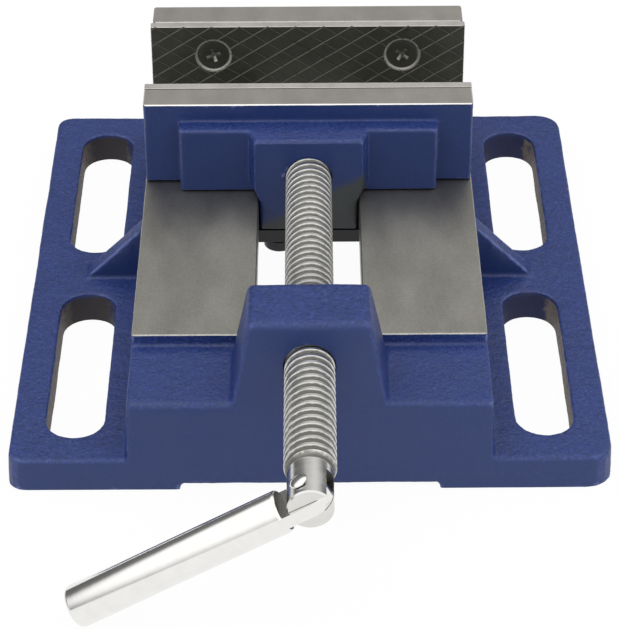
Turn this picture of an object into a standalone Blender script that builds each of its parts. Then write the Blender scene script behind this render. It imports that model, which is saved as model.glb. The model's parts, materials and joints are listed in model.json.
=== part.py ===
"""Drill press vise: slotted cast base with fixed jaw, sliding jaw, screw and folding handle.

Metres, +Z up, +Y from the handle towards the fixed jaw, +X to the right.
Base pieces are drawn with y = 0 at the plate's front foot and z = 0 at its underside.
Moving pieces are drawn about empties that lie on their joint axes.
"""
import math

import bmesh
import bpy
from mathutils import Euler, Matrix, Vector

# Base plate
BASE_LENGTH = 0.1905
PLATE_THICK = 0.0098
PLATE_CORNER_LEFT = 0.0050    # the left corners are sharper than the right ones
PLATE_CORNER_RIGHT = 0.0075
CAST_EDGE = 0.0010            # rounding of cast top edges
SIDE_DRAFT = 0.03             # mould draft of the low side walls
FRONT_LEAN = 0.075            # the whole front face leans back by this slope
FRONT_STEP = 0.0001           # block and boss each stand this much proud of what carries them
RELIEF_HALF = 0.036           # the underside stands on two side rails
RELIEF_DEEP = 0.0017
RELIEF_SLOPE = 1.2            # of the step between rails and relief

# Clamp slots in the plate, four alike
SLOT_WIDTH = 0.0164
SLOT_OUTER_LAND = 0.0101      # plate outside the slots
SLOT_INNER_LAND = 0.00711     # plate between the slots and the block's foot
SLOT_END_LAND = 0.0120        # from the plate's ends to the slots
SLOT_MIDDLE_LAND = 0.0233     # between front and rear slots

# Ways, the two ground rails the jaw slides on
WAY_TOP = 0.03175
WAY_HALF = 0.0506
WAY_THICK = 0.0098
WAY_NEAR = 0.0303             # near end of the ground faces
BLOCK_DRAFT = 0.045
WAY_GAP = 0.0308              # slot between the two rails
LEDGE_DROP = 0.0036           # the painted ledge lies this far below the ways
WAY_GAP_CORNER = 0.002
HOLLOW_WALL = 0.0080          # walls round the hollow under the ways
HOLLOW_CORNER = 0.006
WEB_THICK = 0.0064            # gusset between rail and plate, one each side
WEB_REACH = 0.0173            # along the plate, from the foot of the block
WEB_DROP = 0.0038             # its top below the ways

# Front boss with the thread for the screw
BOSS_TOP = 0.0537
BOSS_HALF_TOP = 0.0170
BOSS_SIDE_DRAFT = 0.195
BOSS_LENGTH_TOP = 0.0206
BOSS_REAR_DRAFT = 0.125
BOSS_EDGE = 0.0018

# Jaws
JAW_WIDTH = 0.1008
JAW_HEIGHT = 0.0274           # above the ways
JAW_GAP = 0.0364              # opening as photographed
JAW_PLATE_THICK = 0.0030
JAW_PLATE_EDGE = 0.0004
JAW_EDGE = 0.0005             # broken edges of the ground jaw casting
JAW_CORNER = 0.0008
FIXED_FACE_FROM_REAR = 0.0282   # clamping face of the fixed jaw to the plate's rear edge
FIXED_CAST_TOP = 0.0106       # casting behind the plate, at the top
FIXED_INSET = 0.0004          # the casting is this much narrower than the plate each side
FIXED_REAR_DRAFT = 0.09
FIXED_CORNER = 0.0015
SLIDE_CAST_THICK = 0.0100
SHOULDER_DROP = 0.0058        # pad and boss of the sliding jaw end this far below its top
PAD_HALF = 0.0396
PAD_DEEP = 0.0058
PAD_CORNER = 0.0015
PAD_EDGE = 0.0008             # rounding of the pad's and the nose's top edges
NOSE_HALF = 0.0165
NOSE_FLARE = 0.0018
NOSE_DEEP = 0.0062
NOSE_TAPER = 0.0040           # height over which the nose narrows to the keel
JAW_SCREW_INSET = 0.0200      # jaw plate screws from the plates' ends
JAW_SCREW_R = 0.0024
JAW_SCREW_HEAD_R = 0.0052
JAW_SCREW_POINT = 0.0004
JAW_SCREW_LENGTH = 0.0085
JAW_SCREW_DROP = 0.0105       # screw centres below the jaw top

# Keel, keeper and its screws
KEEL_CLEAR = 0.0003           # keel to rail, each side
KEEL_CORNER = 0.0010
KEEPER_WIDTH = 0.0440
KEEPER_THICK = 0.0043
KEEPER_CORNER = 0.0015
KEEPER_PLAY = 0.0003
KEEPER_SCREW_X = 0.0092
KEEPER_SCREW_INSET = 0.0050   # from the keel's front and rear ends
KEEPER_SCREW_R = 0.0022
KEEPER_HEAD_R = 0.00475
KEEPER_HEAD_HIGH = 0.0030
KEEPER_SCREW_GRIP = 0.0060    # length in the keel
WASHER_R = 0.0052
WASHER_THICK = 0.0010

# Lead screw with a right-hand thread
SCREW_Z = 0.0400
THREAD_R = 0.0070
THREAD_PITCH = 0.0030
THREAD_DEPTH = 0.00085
THREAD_START = 0.62           # of a pitch, as the screw's turn in the photo leaves it
THREAD_FACETS = 20            # in one turn
JOURNAL_R = 0.0050
JOURNAL_LENGTH = 0.0120
JOURNAL_CHAMFER = 0.0006
GROOVE_R = 0.0034
GROOVE_WIDTH = 0.0036
GROOVE_FROM_END = 0.0048
THREAD_IN_JAW = 0.0060        # thread that stays in the sliding jaw's mouth
PIN_R = 0.0015
PIN_CHAMFER = 0.0003
PIN_PAST_AXIS = 0.0060        # the pins end this far above the screw's axis
NECK_R = 0.0061
NECK_LENGTH = 0.0143
NECK_CHAMFER = 0.0006
SCREW_REACH = 0.0582          # fork end in front of the plate, as photographed

# Folding handle
PIVOT_FROM_END = 0.0047
FORK_SLOT = 0.0039
FORK_DEPTH = 0.0110
TONGUE_R = 0.0056
HANDLE_R = 0.0058
HANDLE_LENGTH = 0.0711        # pivot to the end
SHOULDER_FROM_PIVOT = 0.0076
HANDLE_CHAMFER = 0.0007
SHOULDER_ROUND = 0.0010
RIVET_R = 0.0016
RIVET_HEAD_R = 0.0025
RIVET_HEAD_HIGH = 0.0008
HANDLE_ROLL = math.radians(29.3)   # the screw's turn as photographed
HANDLE_FOLD = math.radians(88.5)   # the handle's fold out of line with the screw

GAP = 0.0003                  # between faces that touch on the real vise
OVERLAP = 0.004               # how far joined bodies reach into each other
PAST = 0.002                  # how far cutters reach out of the body
LEAST_CORNER = 0.0002
ROUND = 48                    # facets of the larger round pieces
SMALL = 28                    # facets of the small round pieces

PAINT = ("blue_enamel", "454F7B", 0.45, 0.0)
PLATE_STEEL = ("blackened_steel", "4A4A46", 0.45, 0.8)
ZINC = ("bright_zinc", "C9C8C4", 0.25, 1.0)
DARK_STEEL = ("dark_steel", "3A3A3C", 0.5, 0.8)


def srgb(code):
    """Turn an sRGB hex colour into the linear values that a material takes."""
    parts = [int(code[i:i + 2], 16) / 255 for i in (0, 2, 4)]
    return [c / 12.92 if c <= 0.04045 else ((c + 0.055) / 1.055) ** 2.4 for c in parts]


def material(name, code, roughness, metallic):
    found = bpy.data.materials.get(name)
    if found:
        return found
    made = bpy.data.materials.new(name)
    made.use_nodes = True
    shader = made.node_tree.nodes["Principled BSDF"]
    shader.inputs["Base Color"].default_value = srgb(code) + [1.0]
    shader.inputs["Roughness"].default_value = roughness
    shader.inputs["Metallic"].default_value = metallic
    return made


def piece(name, bm, finish=None):
    """Make an object from a closed bmesh, with its faces turned outwards."""
    bmesh.ops.recalc_face_normals(bm, faces=bm.faces)
    mesh = bpy.data.meshes.new(name)
    bm.to_mesh(mesh)
    bm.free()
    obj = bpy.data.objects.new(name, mesh)
    bpy.context.scene.collection.objects.link(obj)
    if finish:
        mesh.materials.append(material(*finish))
    return obj


def loft(rings):
    """Skin a stack of point rings of equal count, and close both ends."""
    bm = bmesh.new()
    rows = [[bm.verts.new(p) for p in ring] for ring in rings]
    count = len(rows[0])
    for low, high in zip(rows, rows[1:]):
        for i in range(count):
            j = (i + 1) % count
            bm.faces.new((low[i], low[j], high[j], high[i]))
    bm.faces.new(rows[0])
    bm.faces.new(rows[-1])
    return bm


def arc(cx, cy, radius, start, end, steps):
    """Points on an arc, angles in degrees, both ends included."""
    turn = [math.radians(start + (end - start) * i / steps) for i in range(steps + 1)]
    return [(cx + radius * math.cos(a), cy + radius * math.sin(a)) for a in turn]


def rounded_rect(x0, x1, y0, y1, left, right=None, steps=4):
    """Outline of a rectangle with round corners, anticlockwise; radii left and right."""
    right = right or left
    corners = ((x1 - right, y1 - right, right, 0), (x0 + left, y1 - left, left, 90),
               (x0 + left, y0 + left, left, 180), (x1 - right, y0 + right, right, 270))
    return [p for cx, cy, r, a in corners for p in arc(cx, cy, r, a, a + 90, steps)]


def cast_block(z0, low, z1, high, corners, edge=0.0, steps=3):
    """A drafted block: low and high are (x0, x1, y0, y1), with a rounded top edge."""
    def ring(z, inset):
        t = (z - z0) / (z1 - z0)
        x0, x1, y0, y1 = (a + (b - a) * t for a, b in zip(low, high))
        radii = [max(corner - inset, LEAST_CORNER) for corner in corners]
        outline = rounded_rect(x0 + inset, x1 - inset, y0 + inset, y1 - inset, *radii)
        return [(x, y, z) for x, y in outline]

    rings = [ring(z0, 0.0)]
    if edge:
        for i in range(steps + 1):
            a = math.pi / 2 * i / steps
            rings.append(ring(z1 - edge * (1 - math.sin(a)), edge * (1 - math.cos(a))))
    else:
        rings.append(ring(z1, 0.0))
    return loft(rings)


def extrude(outline, axis, low, high):
    """Extrude a 2-D outline along X, Y or Z; the outline holds the other two, in order."""
    def point(p, depth):
        a, b = p
        return {"X": (depth, a, b), "Y": (a, depth, b), "Z": (a, b, depth)}[axis]

    return loft([[point(p, low) for p in outline], [point(p, high) for p in outline]])


def revolve(profile, facets):
    """Turn (radius, height) points about Z into a closed body; the ends lie off the axis."""
    rings = []
    for radius, height in profile:
        ring = [2 * math.pi * i / facets for i in range(facets)]
        rings.append([(radius * math.cos(a), radius * math.sin(a), height) for a in ring])
    return loft(rings)


def cylinder(radius, low, high, facets):
    return revolve([(radius, low), (radius, high)], facets)


def along_y(bm):
    """Lay a body drawn about Z along Y, its height becoming y."""
    bm.transform(Matrix.Rotation(math.radians(-90), 4, "X"))
    return bm


def moved(bm, x, y, z):
    bm.transform(Matrix.Translation((x, y, z)))
    return bm


def boolean(target, tools, operation):
    """Join tools to the target or cut them from it, and keep only the result."""
    for number, tool in enumerate(tools):
        cutter = piece("%s_tool_%d" % (target.name, number), tool)
        step = target.modifiers.new("step", "BOOLEAN")
        step.operation, step.solver, step.object = operation, "EXACT", cutter
        graph = bpy.context.evaluated_depsgraph_get()
        result = bpy.data.meshes.new_from_object(target.evaluated_get(graph))
        target.modifiers.clear()
        target.data = result
        bpy.data.objects.remove(cutter)


def tidy(obj, finish, smooth=True):
    """Drop edges between coplanar faces, give the finish and shade round stretches smooth."""
    bm = bmesh.new()
    bm.from_mesh(obj.data)
    bmesh.ops.remove_doubles(bm, verts=bm.verts, dist=2e-6)
    bmesh.ops.dissolve_limit(bm, angle_limit=math.radians(0.2), verts=bm.verts, edges=bm.edges)
    bm.to_mesh(obj.data)
    bm.free()
    obj.data.materials.clear()
    obj.data.materials.append(material(*finish))
    if smooth:
        obj.data.shade_smooth()
        obj.data.set_sharp_from_angle(angle=math.radians(35))
    return obj


def empty(name, parent, location, rotation=(0.0, 0.0, 0.0)):
    made = bpy.data.objects.new(name, None)
    bpy.context.scene.collection.objects.link(made)
    made.parent, made.location, made.rotation_euler = parent, location, rotation
    return made


def carry(obj, parent, location=(0.0, 0.0, 0.0)):
    obj.parent, obj.location = parent, location
    return obj


def block_half(z):
    """Half-width of the block under the ways at a height."""
    return WAY_HALF + BLOCK_DRAFT * (WAY_TOP - z)


def front_face(z, steps=1):
    """y of the leaning front at a height, one step proud for the block, two for the boss."""
    return FRONT_LEAN * z - steps * FRONT_STEP


def boss_half(z):
    return BOSS_HALF_TOP + BOSS_SIDE_DRAFT * (BOSS_TOP - z)


def boss_rear(z):
    return FRONT_LEAN * BOSS_TOP + BOSS_LENGTH_TOP + BOSS_REAR_DRAFT * (BOSS_TOP - z)


BASE_HALF = block_half(PLATE_THICK) + SLOT_INNER_LAND + SLOT_WIDTH + SLOT_OUTER_LAND
SLOT_X = BASE_HALF - SLOT_OUTER_LAND - SLOT_WIDTH / 2
SLOT_LENGTH = (BASE_LENGTH - 2 * SLOT_END_LAND - SLOT_MIDDLE_LAND) / 2
FIXED_FACE_Y = BASE_LENGTH - FIXED_FACE_FROM_REAR
FIXED_BACK = FIXED_FACE_Y + JAW_PLATE_THICK + GAP      # machined seat of the fixed plate
WAY_BOTTOM = WAY_TOP - WAY_THICK
KEEL_BOTTOM = WAY_BOTTOM - KEEPER_PLAY                 # below the rails, so the keeper runs free
JAW_SCREW_X = JAW_WIDTH / 2 - JAW_SCREW_INSET           # left and right of the middle
TAP_DEPTH = JAW_SCREW_LENGTH - JAW_PLATE_THICK + GAP    # holes for the jaw plates' screws
NOSE_FRONT = -(JAW_PLATE_THICK + GAP + SLIDE_CAST_THICK + PAD_DEEP + NOSE_DEEP)
CAST_BACK = -(JAW_PLATE_THICK + GAP)
KEEL_SPAN = (NOSE_FRONT, CAST_BACK - GAP)
KEEPER_TOP = KEEL_BOTTOM - GAP
KEEPER_SCREWS = {"front": (-KEEPER_SCREW_X, KEEL_SPAN[0] + KEEPER_SCREW_INSET),
                 "rear": (KEEPER_SCREW_X, KEEL_SPAN[1] - KEEPER_SCREW_INSET)}
SLIDE_FACE_Y = FIXED_FACE_Y - JAW_GAP
BORE_MOUTH_END = NOSE_FRONT + THREAD_IN_JAW + GAP      # the wide bore ends at the thread's end
BORE_END = BORE_MOUTH_END + JOURNAL_LENGTH             # blind end behind the journal
SCREW_TIP_Y = SLIDE_FACE_Y + BORE_END - GAP
SCREW_LENGTH = SCREW_TIP_Y + SCREW_REACH


def base_casting(frame):
    """The casting: plate, rails, ledge, boss, webs and fixed jaw, with slots and hollow."""
    half = BASE_HALF
    draft = SIDE_DRAFT * PLATE_THICK
    lean = FRONT_LEAN * PLATE_THICK
    body = piece("base_casting", cast_block(
        0.0, (-half, half, 0.0, BASE_LENGTH),
        PLATE_THICK, (-half + draft, half - draft, lean, BASE_LENGTH - draft),
        (PLATE_CORNER_LEFT, PLATE_CORNER_RIGHT), CAST_EDGE))

    def between(low, high, rear):
        """Side view of the block: a front that leans with the plate, and a ledge."""
        ledge = WAY_TOP - LEDGE_DROP
        return [(front_face(low), low), (rear, low), (rear, high), (WAY_NEAR, high),
                (WAY_NEAR, ledge), (front_face(ledge), ledge)]

    foot = PLATE_THICK / 2
    rear_foot = FIXED_BACK + FIXED_CAST_TOP + FIXED_REAR_DRAFT * JAW_HEIGHT + CAST_EDGE
    block = extrude(between(foot, WAY_TOP, rear_foot), "X", -1.0, 1.0)
    for vert in block.verts:
        vert.co.x *= block_half(vert.co.z)
    front_edges = [e for e in block.edges
                   if all(v.co.y < WAY_NEAR / 2 for v in e.verts)
                   and max(v.co.z for v in e.verts) > foot * 1.5]
    bmesh.ops.bevel(block, geom=front_edges, offset=CAST_EDGE, segments=2, profile=0.5,
                    affect="EDGES")

    low = WAY_TOP - LEDGE_DROP - OVERLAP
    boss = cast_block(
        low, (-boss_half(low), boss_half(low), front_face(low, 2), boss_rear(low)),
        BOSS_TOP, (-BOSS_HALF_TOP, BOSS_HALF_TOP, front_face(BOSS_TOP, 2),
                   boss_rear(BOSS_TOP)),
        (BOSS_EDGE,), BOSS_EDGE)

    top = WAY_TOP + JAW_HEIGHT
    jaw_half = JAW_WIDTH / 2 - FIXED_INSET
    low = WAY_TOP - OVERLAP
    rear_top = FIXED_BACK + FIXED_CAST_TOP
    jaw = cast_block(
        low, (-jaw_half, jaw_half, FIXED_BACK, rear_top + FIXED_REAR_DRAFT * (top - low)),
        top, (-jaw_half, jaw_half, FIXED_BACK, rear_top), (FIXED_CORNER,), CAST_EDGE)

    middle = BASE_LENGTH / 2
    webs = []
    for side in (-1, 1):
        outer = block_half(PLATE_THICK) + WEB_REACH
        inner = WAY_HALF - OVERLAP
        web_top = WAY_TOP - WEB_DROP
        shape = [(side * inner, foot), (side * outer, foot), (side * outer, PLATE_THICK),
                 (side * WAY_HALF, web_top), (side * inner, web_top)]
        web = extrude(shape, "Y", middle - WEB_THICK / 2, middle + WEB_THICK / 2)
        webs.append(web)

    boolean(body, [block, boss, jaw] + webs, "UNION")

    slots = []
    for x in (-SLOT_X, SLOT_X):
        for y in (SLOT_END_LAND + SLOT_LENGTH / 2,
                  BASE_LENGTH - SLOT_END_LAND - SLOT_LENGTH / 2):
            reach = SLOT_LENGTH / 2 - SLOT_WIDTH / 2
            outline = (arc(x, y + reach, SLOT_WIDTH / 2, 0, 180, 12)
                       + arc(x, y - reach, SLOT_WIDTH / 2, 180, 360, 12))
            slots.append(extrude(outline, "Z", -PAST, PLATE_THICK + PAST))

    gap_near = boss_rear(WAY_TOP)
    gap_far = FIXED_FACE_Y - GAP
    way_gap = extrude(rounded_rect(-WAY_GAP / 2, WAY_GAP / 2, gap_near, gap_far,
                                   WAY_GAP_CORNER), "Z", WAY_BOTTOM - PAST, WAY_TOP + PAST)
    inner = block_half(0.0) - HOLLOW_WALL
    rear = rear_foot - HOLLOW_WALL
    slope = SIDE_DRAFT * WAY_BOTTOM
    hollow = cast_block(
        -PAST, (-inner, inner, HOLLOW_WALL, rear),
        WAY_BOTTOM, (-inner + slope, inner - slope, HOLLOW_WALL + slope, rear - slope),
        (HOLLOW_CORNER,))
    relief_foot = RELIEF_HALF + RELIEF_SLOPE * RELIEF_DEEP
    relief = extrude([(-relief_foot, -RELIEF_DEEP), (relief_foot, -RELIEF_DEEP),
                      (RELIEF_HALF, RELIEF_DEEP), (-RELIEF_HALF, RELIEF_DEEP)],
                     "Y", -PAST, BASE_LENGTH + PAST)
    nut = moved(along_y(cylinder(THREAD_R + GAP, -PAST, gap_near + PAST, ROUND)),
                0.0, 0.0, SCREW_Z)
    taps = [moved(along_y(cylinder(JAW_SCREW_R + GAP, -PAST, TAP_DEPTH, SMALL)),
                  x, FIXED_BACK, top - JAW_SCREW_DROP)
            for x in (-JAW_SCREW_X, JAW_SCREW_X)]
    boolean(body, slots + [way_gap, hollow, relief, nut] + taps, "DIFFERENCE")
    return carry(tidy(body, PAINT), frame)


def jaw_plate(name, parent, face_y, base_z, side):
    """Steel plate with two countersunk holes; side is +1 if the casting lies at +Y of it."""
    low, high = sorted((face_y, face_y + side * JAW_PLATE_THICK))
    half = JAW_WIDTH / 2
    bm = extrude([(-half, base_z + GAP), (half, base_z + GAP), (half, base_z + JAW_HEIGHT),
                  (-half, base_z + JAW_HEIGHT)], "Y", low, high)
    bmesh.ops.bevel(bm, geom=list(bm.edges), offset=JAW_PLATE_EDGE, segments=1, profile=0.5,
                    affect="EDGES")
    obj = piece(name, bm)
    flare = JAW_SCREW_HEAD_R - JAW_SCREW_R
    profile = [(JAW_SCREW_HEAD_R + GAP + PAST, -PAST), (JAW_SCREW_HEAD_R + GAP, 0.0),
               (JAW_SCREW_R + GAP, flare), (JAW_SCREW_R + GAP, JAW_PLATE_THICK + PAST)]
    cuts = []
    for x in (-JAW_SCREW_X, JAW_SCREW_X):
        cut = along_y(revolve(profile, SMALL))
        if side < 0:
            cut.transform(Matrix.Rotation(math.pi, 4, "Z"))
        cuts.append(moved(cut, x, face_y, base_z + JAW_HEIGHT - JAW_SCREW_DROP))
    boolean(obj, cuts, "DIFFERENCE")
    return carry(tidy(obj, PLATE_STEEL), parent)


def jaw_screw(name, parent, x, face_y, z, side):
    """Countersunk screw, its head flush with the plate and its tip in the casting."""
    flare = JAW_SCREW_HEAD_R - JAW_SCREW_R
    profile = [(JAW_SCREW_HEAD_R - GAP, GAP), (JAW_SCREW_HEAD_R - GAP, 2 * GAP),
               (JAW_SCREW_R, flare + GAP),
               (JAW_SCREW_R, JAW_SCREW_LENGTH - JAW_SCREW_POINT),
               (JAW_SCREW_R - JAW_SCREW_POINT, JAW_SCREW_LENGTH)]
    obj = piece(name, revolve(profile, SMALL), ZINC)
    obj.data.shade_smooth()
    obj.data.set_sharp_from_angle(angle=math.radians(35))
    carry(obj, parent, (x, face_y, z))
    obj.rotation_euler = Euler((math.radians(-90 if side > 0 else 90), 0.0, 0.0))
    return obj


def moving_jaw(parent):
    """Sliding jaw: wall, pad, nose round the screw and keel; y = 0 at the clamping face."""
    half = JAW_WIDTH / 2
    wall_front = CAST_BACK - SLIDE_CAST_THICK
    pad_front = wall_front - PAD_DEEP
    shoulder = JAW_HEIGHT - SHOULDER_DROP
    wall = cast_block(GAP, (-half, half, wall_front, CAST_BACK),
                      JAW_HEIGHT, (-half, half, wall_front, CAST_BACK), (JAW_CORNER,),
                      JAW_EDGE, 1)
    obj = piece("moving_jaw", wall)
    pad = cast_block(GAP, (-PAD_HALF, PAD_HALF, pad_front, wall_front + OVERLAP),
                     shoulder, (-PAD_HALF, PAD_HALF, pad_front, wall_front + OVERLAP),
                     (PAD_CORNER,), PAD_EDGE)
    flare = NOSE_HALF + NOSE_FLARE
    keel_half = WAY_GAP / 2 - KEEL_CLEAR
    inside = pad_front + OVERLAP
    plan = [(-NOSE_HALF, NOSE_FRONT), (NOSE_HALF, NOSE_FRONT), (flare, pad_front),
            (flare, inside), (-flare, inside), (-flare, pad_front)]
    nose = loft([[(x * keel_half / NOSE_HALF, y, GAP) for x, y in plan],
                 [(x, y, GAP + NOSE_TAPER) for x, y in plan],
                 [(x, y, shoulder - PAD_EDGE) for x, y in plan],
                 [(x - math.copysign(PAD_EDGE, x), y + (PAD_EDGE if y < pad_front else 0.0),
                   shoulder) for x, y in plan]])
    keel = cast_block(KEEL_BOTTOM - WAY_TOP, (-keel_half, keel_half) + KEEL_SPAN,
                      OVERLAP, (-keel_half, keel_half) + KEEL_SPAN, (KEEL_CORNER,))
    boolean(obj, [pad, nose, keel], "UNION")

    axis_z = SCREW_Z - WAY_TOP
    mouth = moved(along_y(cylinder(THREAD_R + GAP, NOSE_FRONT - PAST, BORE_MOUTH_END, ROUND)),
                  0.0, 0.0, axis_z)
    bore = moved(along_y(cylinder(JOURNAL_R + GAP, NOSE_FRONT, BORE_END, ROUND)),
                 0.0, 0.0, axis_z)
    holes = [moved(cylinder(KEEPER_SCREW_R + GAP, -PAST, KEEPER_SCREW_GRIP + GAP, SMALL),
                   x, y, KEEL_BOTTOM - WAY_TOP) for x, y in KEEPER_SCREWS.values()]
    for x in (-pin_x(), pin_x()):
        holes.append(moved(cylinder(PIN_R + GAP, KEEL_BOTTOM - WAY_TOP - PAST,
                                    pin_top() + GAP, SMALL), x, pin_y(), 0.0))
    z = JAW_HEIGHT - JAW_SCREW_DROP
    holes += [moved(along_y(cylinder(JAW_SCREW_R + GAP, -TAP_DEPTH, PAST, SMALL)),
                    x, CAST_BACK, z)
              for x in (-JAW_SCREW_X, JAW_SCREW_X)]
    boolean(obj, [mouth, bore] + holes, "DIFFERENCE")
    return carry(tidy(obj, PAINT), parent)


def pin_x():
    """The pins lie beside the groove's floor, one each side of the screw."""
    return GROOVE_R + GAP + PIN_R


def pin_y():
    return BORE_END - GAP - GROOVE_FROM_END


def pin_top():
    return SCREW_Z - WAY_TOP + PIN_PAST_AXIS


def retaining_pin(name, parent, side):
    bottom = KEEL_BOTTOM - WAY_TOP + GAP
    length = pin_top() - bottom
    thin = PIN_R - PIN_CHAMFER
    profile = [(thin, 0.0), (PIN_R, PIN_CHAMFER), (PIN_R, length - PIN_CHAMFER), (thin, length)]
    obj = piece(name, revolve(profile, SMALL), DARK_STEEL)
    return carry(obj, parent, (side * pin_x(), pin_y(), bottom))


def keeper_plate(parent):
    """Plate under both rails that holds the sliding jaw down."""
    half = KEEPER_WIDTH / 2
    top = KEEPER_TOP - WAY_TOP
    obj = piece("keeper_plate", extrude(
        rounded_rect(-half, half, KEEL_SPAN[0], KEEL_SPAN[1], KEEPER_CORNER), "Z",
        top - KEEPER_THICK, top))
    boolean(obj, [moved(cylinder(KEEPER_SCREW_R + GAP, top - KEEPER_THICK - PAST, top + PAST,
                                 SMALL), x, y, 0.0) for x, y in KEEPER_SCREWS.values()],
            "DIFFERENCE")
    return carry(tidy(obj, DARK_STEEL), parent)


def keeper_fasteners(parent):
    """Washer and pan head screw under the keeper, front left and rear right."""
    under = KEEPER_TOP - WAY_TOP - KEEPER_THICK - GAP
    head = under - WASHER_THICK - GAP
    stem = KEEL_BOTTOM - WAY_TOP + KEEPER_SCREW_GRIP - head
    for where, (x, y) in KEEPER_SCREWS.items():
        washer = piece("keeper_washer_" + where, cylinder(WASHER_R, -WASHER_THICK, 0.0, SMALL))
        boolean(washer, [cylinder(KEEPER_SCREW_R + GAP, -PAST, PAST, SMALL)], "DIFFERENCE")
        carry(tidy(washer, DARK_STEEL), parent, (x, y, under))
        crown = [(KEEPER_HEAD_R * math.cos(a), -KEEPER_HEAD_HIGH * (0.45 + 0.55 * math.sin(a)))
                 for a in (math.radians(d) for d in (75, 50, 25, 0))]
        profile = crown + [(KEEPER_HEAD_R, 0.0), (KEEPER_SCREW_R, 0.0),
                           (KEEPER_SCREW_R, stem - JAW_SCREW_POINT),
                           (KEEPER_SCREW_R - JAW_SCREW_POINT, stem)]
        screw = piece("keeper_screw_" + where, revolve(profile, SMALL), DARK_STEEL)
        screw.data.shade_smooth()
        screw.data.set_sharp_from_angle(angle=math.radians(35))
        carry(screw, parent, (x, y, head))


def thread(length):
    """Right-hand V thread wound along +Z as one strip, with spare turns past both ends."""
    spare = 2
    count = (math.ceil(length / THREAD_PITCH) + 2 * spare) * THREAD_FACETS
    bm = bmesh.new()

    def point(radius, step, lift):
        turn = step / THREAD_FACETS
        a = 2 * math.pi * turn
        height = THREAD_PITCH * (turn + lift + THREAD_START - spare)
        return bm.verts.new((radius * math.cos(a), radius * math.sin(a), height))

    root = [point(THREAD_R - THREAD_DEPTH, i, -0.5) for i in range(count + THREAD_FACETS + 1)]
    crest = [point(THREAD_R, i, 0.0) for i in range(count + 1)]
    for i in range(count):
        above = i + THREAD_FACETS
        bm.faces.new((root[i], root[i + 1], crest[i + 1], crest[i]))
        bm.faces.new((crest[i], crest[i + 1], root[above + 1], root[above]))
    for rim in (root[:THREAD_FACETS + 1] + [crest[0]], root[count:] + [crest[count]]):
        middle = bm.verts.new((0.0, 0.0, sum(v.co.z for v in rim) / len(rim)))
        for a, b in zip(rim, rim[1:] + rim[:1]):
            bm.faces.new((a, b, middle))
    return bm


def lead_screw(parent):
    """Screw drawn forwards from its tip: journal with groove, thread, neck and fork."""
    start = JOURNAL_LENGTH
    groove = GROOVE_FROM_END
    neck_start = -SCREW_LENGTH + NECK_LENGTH
    length = -start - neck_start
    root_r = THREAD_R - THREAD_DEPTH
    obj = piece("lead_screw", moved(along_y(thread(length)), 0.0, neck_start, 0.0))
    ends = [(root_r, 0.0), (THREAD_R + GAP, THREAD_DEPTH + GAP),
            (THREAD_R + GAP, length - THREAD_DEPTH - GAP), (root_r, length)]
    boolean(obj, [moved(along_y(revolve(ends, ROUND)), 0.0, neck_start, 0.0)], "INTERSECT")
    journal = [(JOURNAL_R - JOURNAL_CHAMFER, 0.0), (JOURNAL_R, -JOURNAL_CHAMFER),
               (JOURNAL_R, -groove + GROOVE_WIDTH / 2), (GROOVE_R, -groove + GROOVE_WIDTH / 2),
               (GROOVE_R, -groove - GROOVE_WIDTH / 2), (JOURNAL_R, -groove - GROOVE_WIDTH / 2),
               (JOURNAL_R, -start - OVERLAP)]
    neck = [(NECK_R - NECK_CHAMFER, -SCREW_LENGTH), (NECK_R, -SCREW_LENGTH + NECK_CHAMFER),
            (NECK_R, neck_start + OVERLAP)]
    boolean(obj, [along_y(revolve(stretch, ROUND)) for stretch in (journal, neck)], "UNION")
    pivot = -SCREW_LENGTH + PIVOT_FROM_END
    wide = NECK_R + PAST
    open_end, floor = -SCREW_LENGTH - PAST, -SCREW_LENGTH + FORK_DEPTH
    slot = extrude([(-wide, open_end), (wide, open_end), (wide, floor), (-wide, floor)],
                   "Z", -FORK_SLOT / 2, FORK_SLOT / 2)
    hole = moved(cylinder(RIVET_R + GAP, -wide, wide, SMALL), 0.0, pivot, 0.0)
    boolean(obj, [slot, hole], "DIFFERENCE")
    return carry(tidy(obj, ZINC), parent)


def handle_rivet(parent):
    """Rivet through both ears and the tongue, domed at both ends."""
    seat = NECK_R + GAP
    dome = [(RIVET_HEAD_R * math.cos(a), seat + RIVET_HEAD_HIGH * math.sin(a))
            for a in (math.radians(d) for d in (0, 30, 55, 78))]
    upper = [(RIVET_R, seat)] + dome
    lower = [(r, -h) for r, h in reversed(upper)]
    obj = piece("handle_rivet", revolve(lower + upper, SMALL), ZINC)
    obj.data.shade_smooth()
    obj.data.set_sharp_from_angle(angle=math.radians(35))
    return carry(obj, parent)


def handle_bar(parent):
    """Round bar with a flat tongue; the pivot is the origin and the bar runs along +X."""
    chamfer = HANDLE_CHAMFER
    turned = SHOULDER_ROUND
    profile = [(radius, along) for along, radius in arc(
        SHOULDER_FROM_PIVOT + turned, HANDLE_R - turned, turned, 180, 90, 3)]
    profile += [(HANDLE_R, HANDLE_LENGTH - chamfer),
                (HANDLE_R - 0.4 * chamfer, HANDLE_LENGTH - 0.4 * chamfer),
                (HANDLE_R - 1.6 * chamfer, HANDLE_LENGTH)]
    bar = revolve(profile, ROUND)
    bar.transform(Matrix.Rotation(math.radians(90), 4, "Y"))
    obj = piece("handle_bar", bar)
    tongue_half = FORK_SLOT / 2 - GAP
    root = SHOULDER_FROM_PIVOT + OVERLAP
    outline = arc(0.0, 0.0, TONGUE_R, 90, 270, 16) + [(root, -TONGUE_R), (root, TONGUE_R)]
    boolean(obj, [extrude(outline, "Z", -tongue_half, tongue_half)], "UNION")
    boolean(obj, [cylinder(RIVET_R + GAP, -HANDLE_R, HANDLE_R, SMALL)], "DIFFERENCE")
    return carry(tidy(obj, ZINC), parent)


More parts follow.
